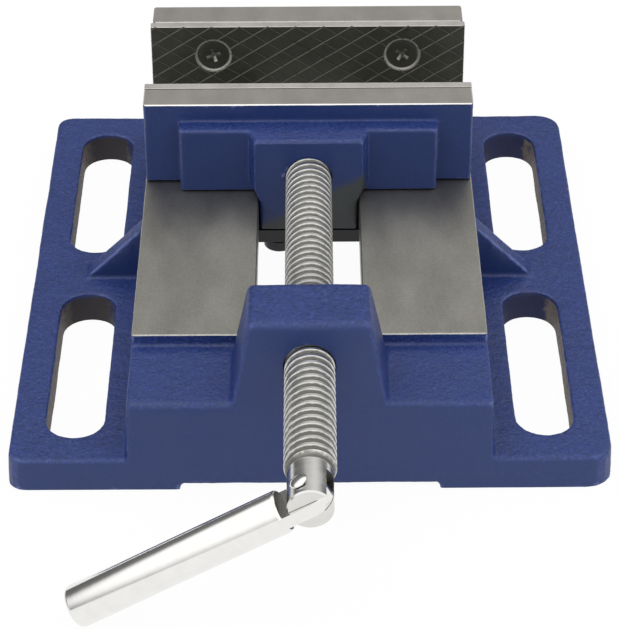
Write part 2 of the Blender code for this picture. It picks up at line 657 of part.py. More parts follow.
def stand_on_origin(frame):
    """Move the whole vise so that its box stands on the origin, centred."""
    bpy.context.view_layer.update()
    corners = [o.matrix_world @ v.co for o in bpy.data.objects if o.type == "MESH"
               for v in o.data.vertices]
    low = Vector(min(c[i] for c in corners) for i in range(3))
    high = Vector(max(c[i] for c in corners) for i in range(3))
    frame.location = (-(low.x + high.x) / 2, -(low.y + high.y) / 2, -low.z)
    bpy.context.view_layer.update()


def build():
    for obj in list(bpy.data.objects):
        bpy.data.objects.remove(obj)

    frame = empty("vise_frame", None, (0.0, 0.0, 0.0))
    slide = empty("jaw_slide_axis", frame, (0.0, SLIDE_FACE_Y, WAY_TOP))
    turning = empty("screw_axis", slide,
                    (0.0, SCREW_TIP_Y - SLIDE_FACE_Y, SCREW_Z - WAY_TOP),
                    (0.0, -HANDLE_ROLL, 0.0))
    pivot = (0.0, -SCREW_LENGTH + PIVOT_FROM_END, 0.0)
    rivet = empty("rivet_axis", turning, pivot)
    fold = empty("handle_pivot", turning, pivot,
                 (0.0, 0.0, math.radians(-90) - HANDLE_FOLD))

    base_casting(frame)
    plate_z = JAW_HEIGHT - JAW_SCREW_DROP
    jaw_plate("fixed_jaw_plate", frame, FIXED_FACE_Y, WAY_TOP, 1)
    moving_jaw(slide)
    jaw_plate("moving_jaw_plate", slide, 0.0, 0.0, -1)
    for side, x in (("left", -JAW_SCREW_X), ("right", JAW_SCREW_X)):
        jaw_screw("fixed_jaw_screw_" + side, frame, x, FIXED_FACE_Y, WAY_TOP + plate_z, 1)
        jaw_screw("moving_jaw_screw_" + side, slide, x, 0.0, plate_z, -1)
    keeper_plate(slide)
    keeper_fasteners(slide)
    retaining_pin("retaining_pin_left", slide, -1)
    retaining_pin("retaining_pin_right", slide, 1)
    lead_screw(turning)
    handle_rivet(rivet)
    handle_bar(fold)
    stand_on_origin(frame)


build()
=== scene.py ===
"""Drill press vise: enamelled casting with ground ways, hatched jaw plates and a zinc-plated screw.

Metres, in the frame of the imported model: +X right, +Y from the handle to the fixed jaw, +Z up.
The castings are made as a foundry and a machine shop make them: a blank with soft edges and a
sand-cast skin, then cuts that leave crisp ground faces.
"""
import json
import math

import bmesh
import bpy
import numpy as np
from mathutils import Matrix, Vector


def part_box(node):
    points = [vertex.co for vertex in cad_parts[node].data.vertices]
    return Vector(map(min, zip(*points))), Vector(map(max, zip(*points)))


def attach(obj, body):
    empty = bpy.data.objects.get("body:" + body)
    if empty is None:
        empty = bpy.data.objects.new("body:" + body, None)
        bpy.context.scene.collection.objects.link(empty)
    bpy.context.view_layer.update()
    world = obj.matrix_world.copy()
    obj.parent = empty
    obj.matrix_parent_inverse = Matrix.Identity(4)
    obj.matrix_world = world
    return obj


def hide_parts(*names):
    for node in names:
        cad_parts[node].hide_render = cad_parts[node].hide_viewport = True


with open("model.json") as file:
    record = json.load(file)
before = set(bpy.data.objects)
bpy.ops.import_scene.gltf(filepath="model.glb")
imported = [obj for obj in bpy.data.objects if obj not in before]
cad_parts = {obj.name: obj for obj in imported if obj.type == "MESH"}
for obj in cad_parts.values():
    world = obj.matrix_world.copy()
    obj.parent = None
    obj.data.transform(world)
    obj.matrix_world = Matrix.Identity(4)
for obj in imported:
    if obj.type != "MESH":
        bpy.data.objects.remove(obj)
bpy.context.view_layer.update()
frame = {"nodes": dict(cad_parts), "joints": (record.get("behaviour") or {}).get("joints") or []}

MM = 0.001

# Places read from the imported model
BASE_LOW, BASE_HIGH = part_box("base_casting")
PLATE_LOW, PLATE_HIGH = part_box("fixed_jaw_plate")
SLIDE_LOW, SLIDE_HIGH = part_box("moving_jaw")
SLIDE_PLATE_FACE_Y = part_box("moving_jaw_plate")[1].y
SCREW_LOW, SCREW_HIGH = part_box("lead_screw")
FRONT = BASE_LOW.y  # the plate's front foot
GAP = 0.3 * MM  # clearance between faces that touch on the real vise
WAY_TOP = PLATE_LOW.z - GAP
JAW_TOP = PLATE_HIGH.z
SEAT_Y = PLATE_HIGH.y + GAP  # machined seat of the fixed jaw plate

# Base casting
WAY_NEAR_Y = FRONT + 30.3 * MM  # near end of the ground ways
WAY_HALF = 50.6 * MM
GAP_HALF = 15.4 * MM  # half the slot between the two ways
GAP_NEAR_Y = FRONT + 27.4 * MM
GAP_FAR_Y = PLATE_LOW.y - GAP
GAP_CORNER = 2.0 * MM
GAP_WALL_Z = 20.0 * MM  # the walls of the slot between the ways lie above this
IN_HOLLOW = 15.0 * MM  # a height inside the hollow under the ways
PLATE_THICK = 9.8 * MM
SLOT_X = 66.9 * MM  # clamp slots left and right of the middle
SLOT_HALF = 8.2 * MM
FIXED_JAW_HALF = 50.0 * MM
FIXED_JAW_THICK = 10.6 * MM
LEDGE_Z = 28.15 * MM
SOFT_LEDGE = 3.5 * MM  # reach of the well rounded edge of the left ledge
BOSS_FOOT_HALF = 21.5 * MM
BORE_R = 7.3 * MM
SCREW_Z = 40.0 * MM
WEB_WEAR_AND_HIGHLIGHT = 2.5  # how much more rubbed paint and painted highlight the webs' ridges get

# Sliding jaw casting
SLIDE_WALL = 10.0 * MM
MOUTH_DEPTH = 6.3 * MM  # of the screw's mouth
MOUTH_REACH = 8.0 * MM  # points in front of this depth may lie on the mouth
NOSE_HALF = 17.5 * MM
NOSE_DEPTH = 9.0 * MM
SHADE_Z = 31.7 * MM  # painted shade darkens the nose below this height
SHADE_SLANT = 0.56  # and higher up on the right of the screw, where its painted shadow falls
SHADE_FADE = 5.0 * MM

# Machining of the castings
ALLOWANCE = 1.0 * MM  # metal that the machining cuts away
SOLE_ALLOWANCE = 2.0 * MM  # more under the plate, so that the slots' walls stay straight
BORE_SHARE = 0.8  # of the bore's radius, in the blank of the base
MOUTH_SHARE = 0.85  # the same for the sliding jaw's mouth
ON_FACE = 0.05 * MM  # a point this near to a face lies on it
ON_BORE = 0.2 * MM  # the same for the facets of a bore
BROKEN_EDGE = 0.35 * MM  # chamfer round ground faces
CUTTER_PAST = 5.0 * MM  # how far a cutter reaches past the casting
BODY_PAST = 3.0 * MM  # the same for the mouth's cutter and for joined bodies
LID_HIGH = 12.0 * MM
FIXED_TOP_REACH = 1.4 * MM  # points this near to the fixed jaw's top belong to it
SLIDE_TOP_REACH = 0.6 * MM  # the same for the sliding jaw
SLIDE_TOP_ALLOWANCE = 1.5 * MM
SKIN_INWARD = 0.68  # noise level that stays in place; the rest lies deeper
SOFTER_ROUNDS = 80

# Thread, fork and handle
THREAD_R = 7.0 * MM
THREAD_PITCH = 3.0 * MM
THREAD_DEPTH = 0.85 * MM
THREAD_END_CHAMFER = 0.85 * MM
THREAD_START = 0.70  # of a pitch, as the screw's turn in the photo leaves it
THREAD_FACETS = 60  # a turn
THREAD_MARK = 0.15  # what the crests have of the attribute groove
CREST_UNDER = 0.02 * MM  # how much the wound thread stays under its envelope
CORE_UNDER = 0.05 * MM  # and the envelope's ends under the thread's root
LEAD_IN = 2.5  # turns that are wound before the thread's start
RUN_OUT = 2.6 * MM  # over which the thread fades towards the neck
JOURNAL_R = 5.0 * MM
JOURNAL_LENGTH = 12.0 * MM
GROOVE_R = 3.4 * MM
GROOVE_WIDTH = 3.6 * MM
GROOVE_FROM_END = 4.8 * MM
TURNED_EDGE = 0.6 * MM  # chamfer of the journal's and the neck's ends
NECK_R = 6.1 * MM
NECK_LENGTH = 14.3 * MM
FORK_EDGE = 0.4 * MM
FORK_SLOT = 3.9 * MM
FORK_DEPTH = 11.0 * MM
PIVOT_FROM_END = 4.7 * MM
SHADE_END = -2.0 * MM  # ahead of the pivot: painted shade fills the fork's slot to here
RIVET_R = 1.6 * MM
RIVET_HEAD_R = 2.5 * MM
RIVET_HEAD_HIGH = 0.8 * MM
TONGUE_R = 5.6 * MM
TONGUE_ROOT = 4.0 * MM  # how far the tongue runs into the bar
TONGUE_PLAY = 0.1 * MM  # each side of the tongue in the fork
HANDLE_R = 5.8 * MM
HANDLE_LENGTH = 71.1 * MM
HANDLE_CHAMFER = 0.7 * MM
SHOULDER_FROM_PIVOT = 7.6 * MM
SHOULDER_ROUND = 1.0 * MM

# Jaw plates and screws
PLATE_EDGE = 0.15 * MM
PLATE_CORNER = 0.3 * MM
HATCH_PITCH = 9.0 * MM  # along the plate
HATCH_SLOPE = math.radians(33)
HATCH_MEET = -3.9 * MM  # where two grooves meet at the plate's top edge
HATCH_WIDTH = 0.42 * MM
HATCH_DEPTH = 0.2 * MM
HATCH_SPARE = 8.0 * MM  # how much longer the grooves' cutters are than needed
HATCH_ABOVE = 0.3 * MM  # how far its cutter stands out of the plate
JAW_SCREW_X = 30.4 * MM
JAW_SCREW_Z = JAW_TOP - 10.5 * MM
JAW_SCREW_R = 2.4 * MM
JAW_SCREW_HEAD_R = 5.2 * MM
JAW_SCREW_LENGTH = 8.5 * MM
JAW_RECESS = (2.6 * MM, 1.4 * MM, 1.15 * MM)  # radius, depth and width of the cross
SINK_RING = 0.45 * MM  # bare ring that the countersink leaves round the head
SINK_RING_DEEP = 0.05 * MM
SINK_LIP = 0.12 * MM
SINK_ABOVE = 0.5 * MM  # how far its cutter stands out of the plate
SINK_THROUGH = 5.0 * MM
KEEPER_HEAD_R = 4.75 * MM
KEEPER_HEAD_HIGH = 3.0 * MM
KEEPER_STEM_R = 2.2 * MM
KEEPER_RECESS = (2.4 * MM, 1.9 * MM, 1.1 * MM)
STEM_CHAMFER = 0.4 * MM

# Light
ROOM_DARK = 0.19  # light of the room low behind the vise
ROOM_BRIGHT = 1.22  # light of the white tent round and over it
TENT_TO_FRONT = -0.4  # how much Y counts beside Z in how far the tent reaches
TENT_TO_RIGHT = 0.36  # the same for X, on the right only

ROUND = 96  # facets of turned bodies
SMALL = 48  # and of screws and rivets


def linear(code):
    """Linear RGBA of an sRGB hex colour."""
    parts = [int(code[i:i + 2], 16) / 255 for i in (0, 2, 4)]
    return [c / 12.92 if c <= 0.04045 else ((c + 0.055) / 1.055) ** 2.4 for c in parts] + [1.0]


def wire(tree, node, inputs):
    """Set a node's inputs to values or hex colours, or link them to sockets or other nodes.

    A node stands for its first output in use. Inputs that share a name go by number: a Mix node
    has its factor at 0, its numbers at 2 and 3 and its colours at 6 and 7.
    """
    for name, value in inputs.items():
        if isinstance(value, bpy.types.Node):
            value = next(out for out in value.outputs if out.enabled)
        if isinstance(value, bpy.types.NodeSocket):
            tree.links.new(value, node.inputs[name])
        else:
            node.inputs[name].default_value = linear(value) if isinstance(value, str) else value


def add(tree, kind, inputs=None, **settings):
    """Add one node with its settings and links."""
    made = tree.nodes.new(kind)
    for name, value in settings.items():
        setattr(made, name, value)
    wire(tree, made, inputs or {})
    return made


def finish(name, values):
    """A material with its shader's uniform values set.

    Returns the material, its tree, its shader and the place on the piece.
    """
    mat = bpy.data.materials.new(name)
    mat.use_nodes = True
    tree = mat.node_tree
    shader = tree.nodes["Principled BSDF"]
    wire(tree, shader, values)
    return mat, tree, shader, add(tree, "ShaderNodeTexCoord").outputs["Object"]


# Materials

def sprayed_enamel_on_sand_casting():
    """Alkyd enamel sprayed on a sand casting: semi-gloss, with the grain of the mould under it.

    The outer walls of the slots are bare iron, dull and brownish, because the casting was
    dressed there after painting. All slot walls get painted shade, and the far walls of the left
    slots are painted near black as shade.
    """
    mat, tree, shader, place = finish("sprayed_enamel_on_sand_casting", {
        "Base Color": "323F74", "Roughness": 0.45, "IOR": 1.5})
    normal = add(tree, "ShaderNodeNewGeometry").outputs["True Normal"]
    spot = add(tree, "ShaderNodeSeparateXYZ", {0: place}).outputs
    turned = add(tree, "ShaderNodeSeparateXYZ", {0: normal}).outputs
    # Thicker and thinner paint in patches about 14 mm across, sand grain of 0.9 mm, which the
    # paint fills in part, and lumps of 2.6 mm
    patch, grain, lumps = (
        add(tree, "ShaderNodeTexNoise", {
            "Vector": place, "Scale": 1 / (size * MM), "Detail": detail, "Roughness": rough})
        for size, detail, rough in ((14, 3.0, 0.6), (0.9, 2.0, 0.6), (2.6, 1.0, 0.5)))
    # Faces towards the handle were rubbed down before painting, except the step under the ways
    rubbed = add(tree, "ShaderNodeMapRange", {
        "Value": turned["Y"], "From Min": -0.97, "From Max": -0.8, "To Min": 0.2})
    step = add(tree, "ShaderNodeMath", {
        0: spot["Y"], 1: WAY_NEAR_Y, 2: 2 * MM}, operation="COMPARE")
    rough_cast = add(tree, "ShaderNodeMath", {0: rubbed, 1: step}, operation="MAXIMUM")
    tone = add(tree, "ShaderNodeMix", {0: patch, 6: "182B60", 7: "233978"}, data_type="RGBA")
    tone = add(tree, "ShaderNodeMix", {0: rough_cast, 6: "172D60", 7: tone}, data_type="RGBA")
    # Dark pits between the grains of sand and light specks on top of them
    for none, full, most, code in ((0.46, 0.3, 0.65, "111B40"), (0.54, 0.7, 0.4, "43549B")):
        share = add(tree, "ShaderNodeMapRange", {
            "Value": grain, "From Min": none, "From Max": full, "To Max": most})
        share = add(tree, "ShaderNodeMath", {0: share, 1: rough_cast}, operation="MULTIPLY")
        tone = add(tree, "ShaderNodeMix", {0: share, 6: tone, 7: code}, data_type="RGBA")
    # Rubbed paint with painted highlight on convex edges, then painted shade on the nose and keel:
    # the screw's shadow and the dark under it
    edge, painted_shade = (add(tree, "ShaderNodeAttribute", attribute_name=name).outputs["Fac"]
                    for name in ("edge", "painted_shade"))
    rub_and_highlight = add(tree, "ShaderNodeMath", {0: edge, 1: lumps}, operation="MULTIPLY")
    film = add(tree, "ShaderNodeMath", {0: painted_shade, 1: lumps, 2: painted_shade}, operation="MULTIPLY_ADD")
    for value, none, full, most, code in ((rub_and_highlight, 0.08, 0.4, 0.65, "6875B0"),
                                          (film, 0.35, 1.3, 0.92, "383C39")):
        share = add(tree, "ShaderNodeMapRange", {
            "Value": value, "From Min": none, "From Max": full, "To Max": most})
        tone = add(tree, "ShaderNodeMix", {0: share, 6: tone, 7: code}, data_type="RGBA")
    # Slot walls: steep faces inside the plate, away from its front and rear edges, get painted
    # shade
    across = add(tree, "ShaderNodeMath", {0: spot["X"]}, operation="ABSOLUTE")
    middle, end = (BASE_LOW.y + BASE_HIGH.y) / 2, (BASE_HIGH.y - BASE_LOW.y) / 2
    wall = 1.0
    for value, centre, inner, outer in ((across, SLOT_X, 1.1 * SLOT_HALF, 1.3 * SLOT_HALF),
                                        (spot["Y"], middle, end - 6 * MM, end - 4 * MM),
                                        (spot["Z"], 0.0, 0.8 * PLATE_THICK, 0.98 * PLATE_THICK),
                                        (turned["Z"], 0.0, 0.4, 0.8)):
        off = add(tree, "ShaderNodeMath", {0: value, 1: centre}, operation="SUBTRACT")
        off = add(tree, "ShaderNodeMath", {0: off}, operation="ABSOLUTE")
        share = add(tree, "ShaderNodeMapRange", {
            "Value": off, "From Min": inner, "From Max": outer, "To Min": 1.0, "To Max": 0.0})
        wall = add(tree, "ShaderNodeMath", {0: share, 1: wall}, operation="MULTIPLY")
    shade = add(tree, "ShaderNodeMath", {0: wall, 1: 0.8}, operation="MULTIPLY")
    tone = add(tree, "ShaderNodeMix", {0: shade, 6: tone, 7: "14183A"}, data_type="RGBA")
    # Bare iron on the outer walls, which face the middle; the far walls of the left slots get a
    # near-black iron tone as painted shade
    inwards = add(tree, "ShaderNodeMath", {0: turned["X"], 1: spot["X"]}, operation="MULTIPLY")
    outer_wall = add(tree, "ShaderNodeMapRange", {
        "Value": inwards, "From Min": -0.45 * SLOT_X, "From Max": -0.85 * SLOT_X})
    left = add(tree, "ShaderNodeMath", {0: spot["X"], 1: 0.0}, operation="LESS_THAN")
    far_wall = add(tree, "ShaderNodeMapRange", {
        "Value": turned["Y"], "From Min": -0.3, "From Max": -0.8, "To Max": left})
    bare = add(tree, "ShaderNodeMath", {0: outer_wall, 1: far_wall}, operation="MAXIMUM")
    for value in (wall, lumps):
        bare = add(tree, "ShaderNodeMath", {0: bare, 1: value}, operation="MULTIPLY")
    bare = add(tree, "ShaderNodeMapRange", {"Value": bare, "From Min": 0.22, "From Max": 0.4})
    iron = add(tree, "ShaderNodeMix", {0: grain, 6: "3E393B", 7: "8C8178"}, data_type="RGBA")
    # Painted shade: the far walls of the left slots turn near black
    iron = add(tree, "ShaderNodeMix", {0: far_wall, 6: iron, 7: "2B2628"}, data_type="RGBA")
    tone = add(tree, "ShaderNodeMix", {0: bare, 6: tone, 7: iron}, data_type="RGBA")
    gloss = add(tree, "ShaderNodeMapRange", {
        "Value": patch, "From Min": 0.3, "From Max": 0.7, "To Min": 0.36, "To Max": 0.52})
    dull = add(tree, "ShaderNodeMix", {0: wall, 2: gloss, 3: 0.7})
    height = add(tree, "ShaderNodeMath", {0: lumps, 1: grain}, operation="ADD")
    height = add(tree, "ShaderNodeMath", {0: height, 1: rough_cast}, operation="MULTIPLY")
    bump = add(tree, "ShaderNodeBump", {"Height": height, "Strength": 0.9, "Distance": 0.22 * MM})
    wire(tree, shader, {"Base Color": tone, "Roughness": dull, "Normal": bump})
    return mat


def ground_metal(name, dark, light, roughness, mark_size, cloud):
    """Metal ground on a surface grinder: satin, with fine wheel marks and cloudy, stained grey.

    mark_size is the width, length and height in mm in which the marks are drawn, since real ones
    of 0.02 mm would not show; cloud is the stains' size in mm. Grit of 0.5 mm lies over both.
    """
    mat, tree, shader, place = finish(name, {
        "Base Color": light, "Metallic": 1.0, "Roughness": roughness})
    stretched = add(tree, "ShaderNodeMapping", {
        "Vector": place, "Scale": [1 / (size * MM) for size in mark_size]})
    marks = add(tree, "ShaderNodeTexNoise", {
        "Vector": stretched, "Scale": 1.0, "Detail": 2.0, "Roughness": 0.6})
    drift = add(tree, "ShaderNodeMapping", {
        "Vector": place, "Rotation": (0.0, 0.0, math.radians(40)),
        "Scale": [share / (cloud * MM) for share in (1, 0.4, 1)]})
    clouds = add(tree, "ShaderNodeTexNoise", {
        "Vector": drift, "Scale": 1.0, "Detail": 4.0, "Roughness": 0.55})
    grit = add(tree, "ShaderNodeTexNoise", {"Vector": place, "Scale": 1 / (0.5 * MM)})
    mixed = clouds
    for pattern, weight in ((marks, 0.3), (grit, 0.7)):
        mixed = add(tree, "ShaderNodeMath", {
            0: pattern, 1: weight, 2: mixed}, operation="MULTIPLY_ADD")
    share = add(tree, "ShaderNodeMapRange", {"Value": mixed, "From Min": 0.65, "From Max": 1.35})
    tone = add(tree, "ShaderNodeMix", {0: share, 6: dark, 7: light}, data_type="RGBA")
    rough = add(tree, "ShaderNodeMapRange", {
        "Value": clouds, "From Min": 0.3, "From Max": 0.7, "To Min": roughness - 0.02,
        "To Max": roughness + 0.04})
    bump = add(tree, "ShaderNodeBump", {"Height": marks, "Strength": 0.2, "Distance": 0.02 * MM})
    wire(tree, shader, {"Base Color": tone, "Roughness": rough, "Normal": bump})
    return mat


def black_oxide_steel(name, dark, light, roughness):
    """Steel with a black oxide finish: a dull near-black film with faint wear in 5 mm clouds."""
    mat, tree, shader, place = finish(name, {
        "Base Color": dark, "Metallic": 0.6, "Roughness": roughness})
    clouds = add(tree, "ShaderNodeTexNoise", {
        "Vector": place, "Scale": 1 / (5 * MM), "Detail": 6.0, "Roughness": 0.7})
    tone = add(tree, "ShaderNodeMix", {0: clouds, 6: dark, 7: light}, data_type="RGBA")
    bump = add(tree, "ShaderNodeBump", {"Height": clouds, "Strength": 0.3, "Distance": 0.03 * MM})
    wire(tree, shader, {"Base Color": tone, "Normal": bump})
    return mat


def zinc_plate(name, dark, light, smoothest, dullest):
    """Steel, turned and zinc-plated: clouded by the bath in 4 mm clouds, slightly wavy.

    On the rolled thread the crests are bright and smeared by the boss, over grooves darkened
    towards the root by painted shade.
    """
    mat, tree, shader, place = finish(name, {
        "Base Color": light, "Metallic": 1.0, "Roughness": smoothest})
    clouds = add(tree, "ShaderNodeTexNoise", {
        "Vector": place, "Scale": 1 / (4 * MM), "Detail": 4.0, "Roughness": 0.6})
    smear = add(tree, "ShaderNodeTexNoise", {"Vector": place, "Scale": 1 / (1.6 * MM)})
    groove = add(tree, "ShaderNodeAttribute", attribute_name="groove").outputs["Fac"]
    smeared = add(tree, "ShaderNodeMath", {0: smear, 1: 0.9, 2: groove}, operation="MULTIPLY_ADD")
    deep = add(tree, "ShaderNodeMapRange", {"Value": smeared, "From Min": 0.75, "From Max": 1.1})
    rolled = add(tree, "ShaderNodeMapRange", {"Value": groove, "From Max": THREAD_MARK})
    tone = add(tree, "ShaderNodeMix", {0: clouds, 6: dark, 7: light}, data_type="RGBA")
    # Painted shade: the grooves turn grey, darker towards the thread's root
    grey = add(tree, "ShaderNodeMix", {0: groove, 6: "B4B3AE", 7: "7C7B76"}, data_type="RGBA")
    rough = add(tree, "ShaderNodeMapRange", {
        "Value": clouds, "From Min": 0.3, "From Max": 0.7, "To Min": smoothest, "To Max": dullest})
    for share, colour, dullness in ((rolled, "D6D5D1", 0.34), (deep, grey, 0.6)):
        tone = add(tree, "ShaderNodeMix", {0: share, 6: tone, 7: colour}, data_type="RGBA")
        rough = add(tree, "ShaderNodeMix", {0: share, 2: rough, 3: dullness})
    bump = add(tree, "ShaderNodeBump", {"Height": smear, "Strength": 0.25, "Distance": 0.03 * MM})
    wire(tree, shader, {"Base Color": tone, "Roughness": rough, "Normal": bump})
    return mat


ENAMEL = sprayed_enamel_on_sand_casting()
GROUND = ground_metal("ground_cast_iron", "8A8881", "A9A79F", 0.44, (0.25, 9, 0.25), 12)
GROUND_ACROSS = ground_metal("ground_cast_iron_jaw_top", "A09D97", "B3AFA9", 0.5,
                             (9, 0.25, 0.25), 8)
GROUND_STEEL = ground_metal("ground_tool_steel", "BAB6B1", "D0CCC7", 0.55, (7, 0.2, 0.2), 6)
HATCH_CUT = ground_metal("tool_steel_cut_by_the_hatch", "6C6B65", "7D7C76", 0.55, (2, 2, 2), 3)
# The same cut steel as the hatch, darker as painted shade for the grooves of the other slope
HATCH_SHADED = ground_metal("tool_steel_hatch_in_painted_shade", "52514C", "605F59", 0.6, (2, 2, 2), 3)
SINK_GREY = ground_metal("tool_steel_turned_by_the_countersink", "A9A8A1", "BDBCB5", 0.6,
                         (1, 1, 1), 2)
# Stoned chamfer on the sliding jaw's top, near white as a painted highlight line
BRIGHT_EDGE_HIGHLIGHT = ground_metal("stoned_edge_with_painted_highlight", "DDDBD6", "EFEDE9", 0.4, (2, 2, 2), 5)
WORN_EDGE = ground_metal("stoned_edge_dulled_by_use", "9F9D97", "C5C3BD", 0.45, (1, 1, 1), 2)
# Bare steel in the cross recesses: worn by the driver, lightened further as a painted highlight
WORN_RECESS_HIGHLIGHT = ground_metal("steel_worn_by_the_driver_and_painted_highlight", "84837D", "ABAAA3", 0.5,
                           (0.6, 0.6, 0.6), 1.2)
BLACK = black_oxide_steel("black_oxide_tool_steel", "35362F", "5A5B52", 0.42)
JAW_SCREW_BLACK = black_oxide_steel("black_oxide_jaw_screws", "3E3F3A", "51524C", 0.34)
FASTENER = black_oxide_steel("black_oxide_fasteners", "262627", "3A3A3B", 0.38)
ZINC = zinc_plate("bright_zinc_plate", "E4E3E0", "F6F5F3", 0.1, 0.17)
SCREW_ZINC = zinc_plate("rolled_and_zinc_plated_screw", "D2D1CD", "EAE9E6", 0.18, 0.28)
# Darker zinc as painted shade, in the fork's slot and rivet hole and on the handle's shoulder
ZINC_IN_PAINTED_SHADE = zinc_plate("zinc_plate_darkened_as_painted_shade", "55534F", "7C7A75", 0.4, 0.5)


# Mesh tools

def new_object(name, bm, materials=()):
    """An object from a closed bmesh, its faces turned outwards."""
    bmesh.ops.recalc_face_normals(bm, faces=bm.faces)
    mesh = bpy.data.meshes.new(name)
    bm.to_mesh(mesh)
    bm.free()
    for mat in materials:
        mesh.materials.append(mat)
    obj = bpy.data.objects.new(name, mesh)
    bpy.context.scene.collection.objects.link(obj)
    return obj


def loft(rings):
    """Skin a stack of point rings of equal count and close both ends."""
    bm = bmesh.new()
    rows = [[bm.verts.new(p) for p in ring] for ring in rings]
    count = len(rows[0])
    for low, high in zip(rows, rows[1:]):
        for i in range(count):
            j = (i + 1) % count
            bm.faces.new((low[i], low[j], high[j], high[i]))
    bm.faces.new(rows[0])
    bm.faces.new(rows[-1])
    return bm


def revolve(profile, facets):
    """Turn (radius, height) points about Z into a closed body; the ends lie off the axis."""
    turns = [2 * math.pi * i / facets for i in range(facets)]
    return loft([[(r * math.cos(a), r * math.sin(a), h) for a in turns] for r, h in profile])


def along_y(bm):
    """Lay a body drawn about Z along Y, its height becoming y."""
    bm.transform(Matrix.Rotation(math.radians(-90), 4, "X"))
    return bm


def shifted(bm, x, y, z):
    bm.transform(Matrix.Translation((x, y, z)))
    return bm


def on_screw_axis(name, profile, start, coat):
    """Turn (radius, depth) points about the lead screw's axis, with depths counted from start."""
    return new_object(name, shifted(along_y(revolve(profile, ROUND)), 0.0, start, SCREW_Z),
                      [coat])


def rectangle(x0, x1, y0, y1, z, corner=0.0, steps=5):
    """A ring of points round a rectangle at one height, with round corners if asked."""
    if not corner:
        return [(x0, y0, z), (x1, y0, z), (x1, y1, z), (x0, y1, z)]
    ring = []
    for cx, cy, start in ((x1 - corner, y1 - corner, 0), (x0 + corner, y1 - corner, 90),
                          (x0 + corner, y0 + corner, 180), (x1 - corner, y0 + corner, 270)):
        for i in range(steps + 1):
            a = math.radians(start + 90 * i / steps)
            ring.append((cx + corner * math.cos(a), cy + corner * math.sin(a), z))
    return ring


def bake(obj):
    """Apply the object's modifiers to its mesh."""
    graph = bpy.context.evaluated_depsgraph_get()
    result = bpy.data.meshes.new_from_object(obj.evaluated_get(graph))
    obj.modifiers.clear()
    obj.data = result


def modify(obj, kind, **settings):
    """Apply one modifier to the object's mesh."""
    modifier = obj.modifiers.new(kind, kind)
    for name, value in settings.items():
        setattr(modifier, name, value)
    bake(obj)


def boolean(obj, tools, operation, solver="MANIFOLD"):
    """Join tools to an object or cut them from it; new faces keep the tool's material."""
    for tool in tools:
        modify(obj, "BOOLEAN", operation=operation, solver=solver, object=tool,
               material_mode="TRANSFER")
        bpy.data.objects.remove(tool)


def geometry_tree(name, sockets):
    """A Geometry Nodes tree with named inputs; returns the tree and its input sockets."""
    tree = bpy.data.node_groups.new(name, "GeometryNodeTree")
    for label, kind in {"Geometry": "Geometry", **sockets, "Material": "Material"}.items():
        tree.interface.new_socket(label, in_out="INPUT", socket_type="NodeSocket" + kind)
    tree.interface.new_socket("Geometry", in_out="OUTPUT", socket_type="NodeSocketGeometry")
    return tree, add(tree, "NodeGroupInput").outputs


def end_tree(tree, geometry, material, selection=True):
    """Make a tree's instances real, give them their material and hand them out."""
    real = add(tree, "GeometryNodeRealizeInstances", {0: geometry})
    painted = add(tree, "GeometryNodeSetMaterial", {
        "Geometry": real, "Selection": selection, "Material": material})
    add(tree, "NodeGroupOutput", {0: painted})
    return tree


def run_tree(obj, tree, values):
    """Run a Geometry Nodes tree on an object, its inputs set by their identifiers, and bake it."""
    modifier = obj.modifiers.new(tree.name, "NODES")
    modifier.node_group = tree
    for item in tree.interface.items_tree:
        if item.in_out == "INPUT" and item.name in values:
            modifier[item.identifier] = values[item.name]
    bake(obj)


def smooth(obj, angle):
    obj.data.shade_smooth()
    obj.data.set_sharp_from_angle(angle=math.radians(angle))


def merged_copy(name, node):
    """A copy of a CAD node's mesh with its loose triangles merged."""
    bm = bmesh.new()
    bm.from_mesh(frame["nodes"][node].data)
    bmesh.ops.remove_doubles(bm, verts=bm.verts, dist=1e-6)
    return new_object(name, bm)


def points_of(mesh, key="co"):
    """Places or normals of a mesh's points, one row each."""
    rows = np.empty(len(mesh.vertices) * 3)
    mesh.vertices.foreach_get(key, rows)
    return rows.reshape(-1, 3)


def set_points(mesh, *coordinates):
    mesh.vertices.foreach_set("co", np.stack(coordinates, 1).ravel())
    mesh.update()


def mark(mesh, name, shares):
    """Keep a share from 0 to 1 for each point as an attribute."""
    made = mesh.attributes.new(name, "FLOAT", "POINT")
    made.data.foreach_set("value", np.clip(shares, 0.0, 1.0).astype(np.float32))


def place_piece(obj, body, slot, *nodes):
    """Hand a finished piece to the frame."""
    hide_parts(*nodes)
    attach(obj, body)


# Castings

def cast_skin_tree():
    """Geometry Nodes: move a casting's surface in and out by the grain of its sand mould."""
    tree, given = geometry_tree("cast_skin", {"Grain": "Float", "Wave": "Float",
                                              "Grain depth": "Float", "Wave depth": "Float"})
    lift = None
    for size in ("Grain", "Wave"):
        scale = add(tree, "ShaderNodeMath", {0: 1.0, 1: given[size]}, operation="DIVIDE")
        noise = add(tree, "ShaderNodeTexNoise", {"Scale": scale, "Detail": 1.0})
        level = add(tree, "ShaderNodeMath", {0: noise, 1: SKIN_INWARD}, operation="SUBTRACT")
        part = add(tree, "ShaderNodeMath", {
            0: level, 1: given[size + " depth"]}, operation="MULTIPLY")
        lift = add(tree, "ShaderNodeMath", {0: part, 1: lift}, operation="ADD") if lift else part
    normal = add(tree, "GeometryNodeInputNormal")
    turned = add(tree, "ShaderNodeSeparateXYZ", {0: normal}).outputs
    rubbed = add(tree, "ShaderNodeMapRange", {
        "Value": turned["Y"], "From Min": -0.97, "From Max": -0.8, "To Min": 0.3})
    lift = add(tree, "ShaderNodeMath", {0: lift, 1: rubbed}, operation="MULTIPLY")
    offset = add(tree, "ShaderNodeVectorMath", {0: normal, "Scale": lift}, operation="SCALE")
    moved = add(tree, "GeometryNodeSetPosition", {"Geometry": given["Geometry"], "Offset": offset})
    return end_tree(tree, moved, given["Material"])


CAST_SKIN = cast_skin_tree()


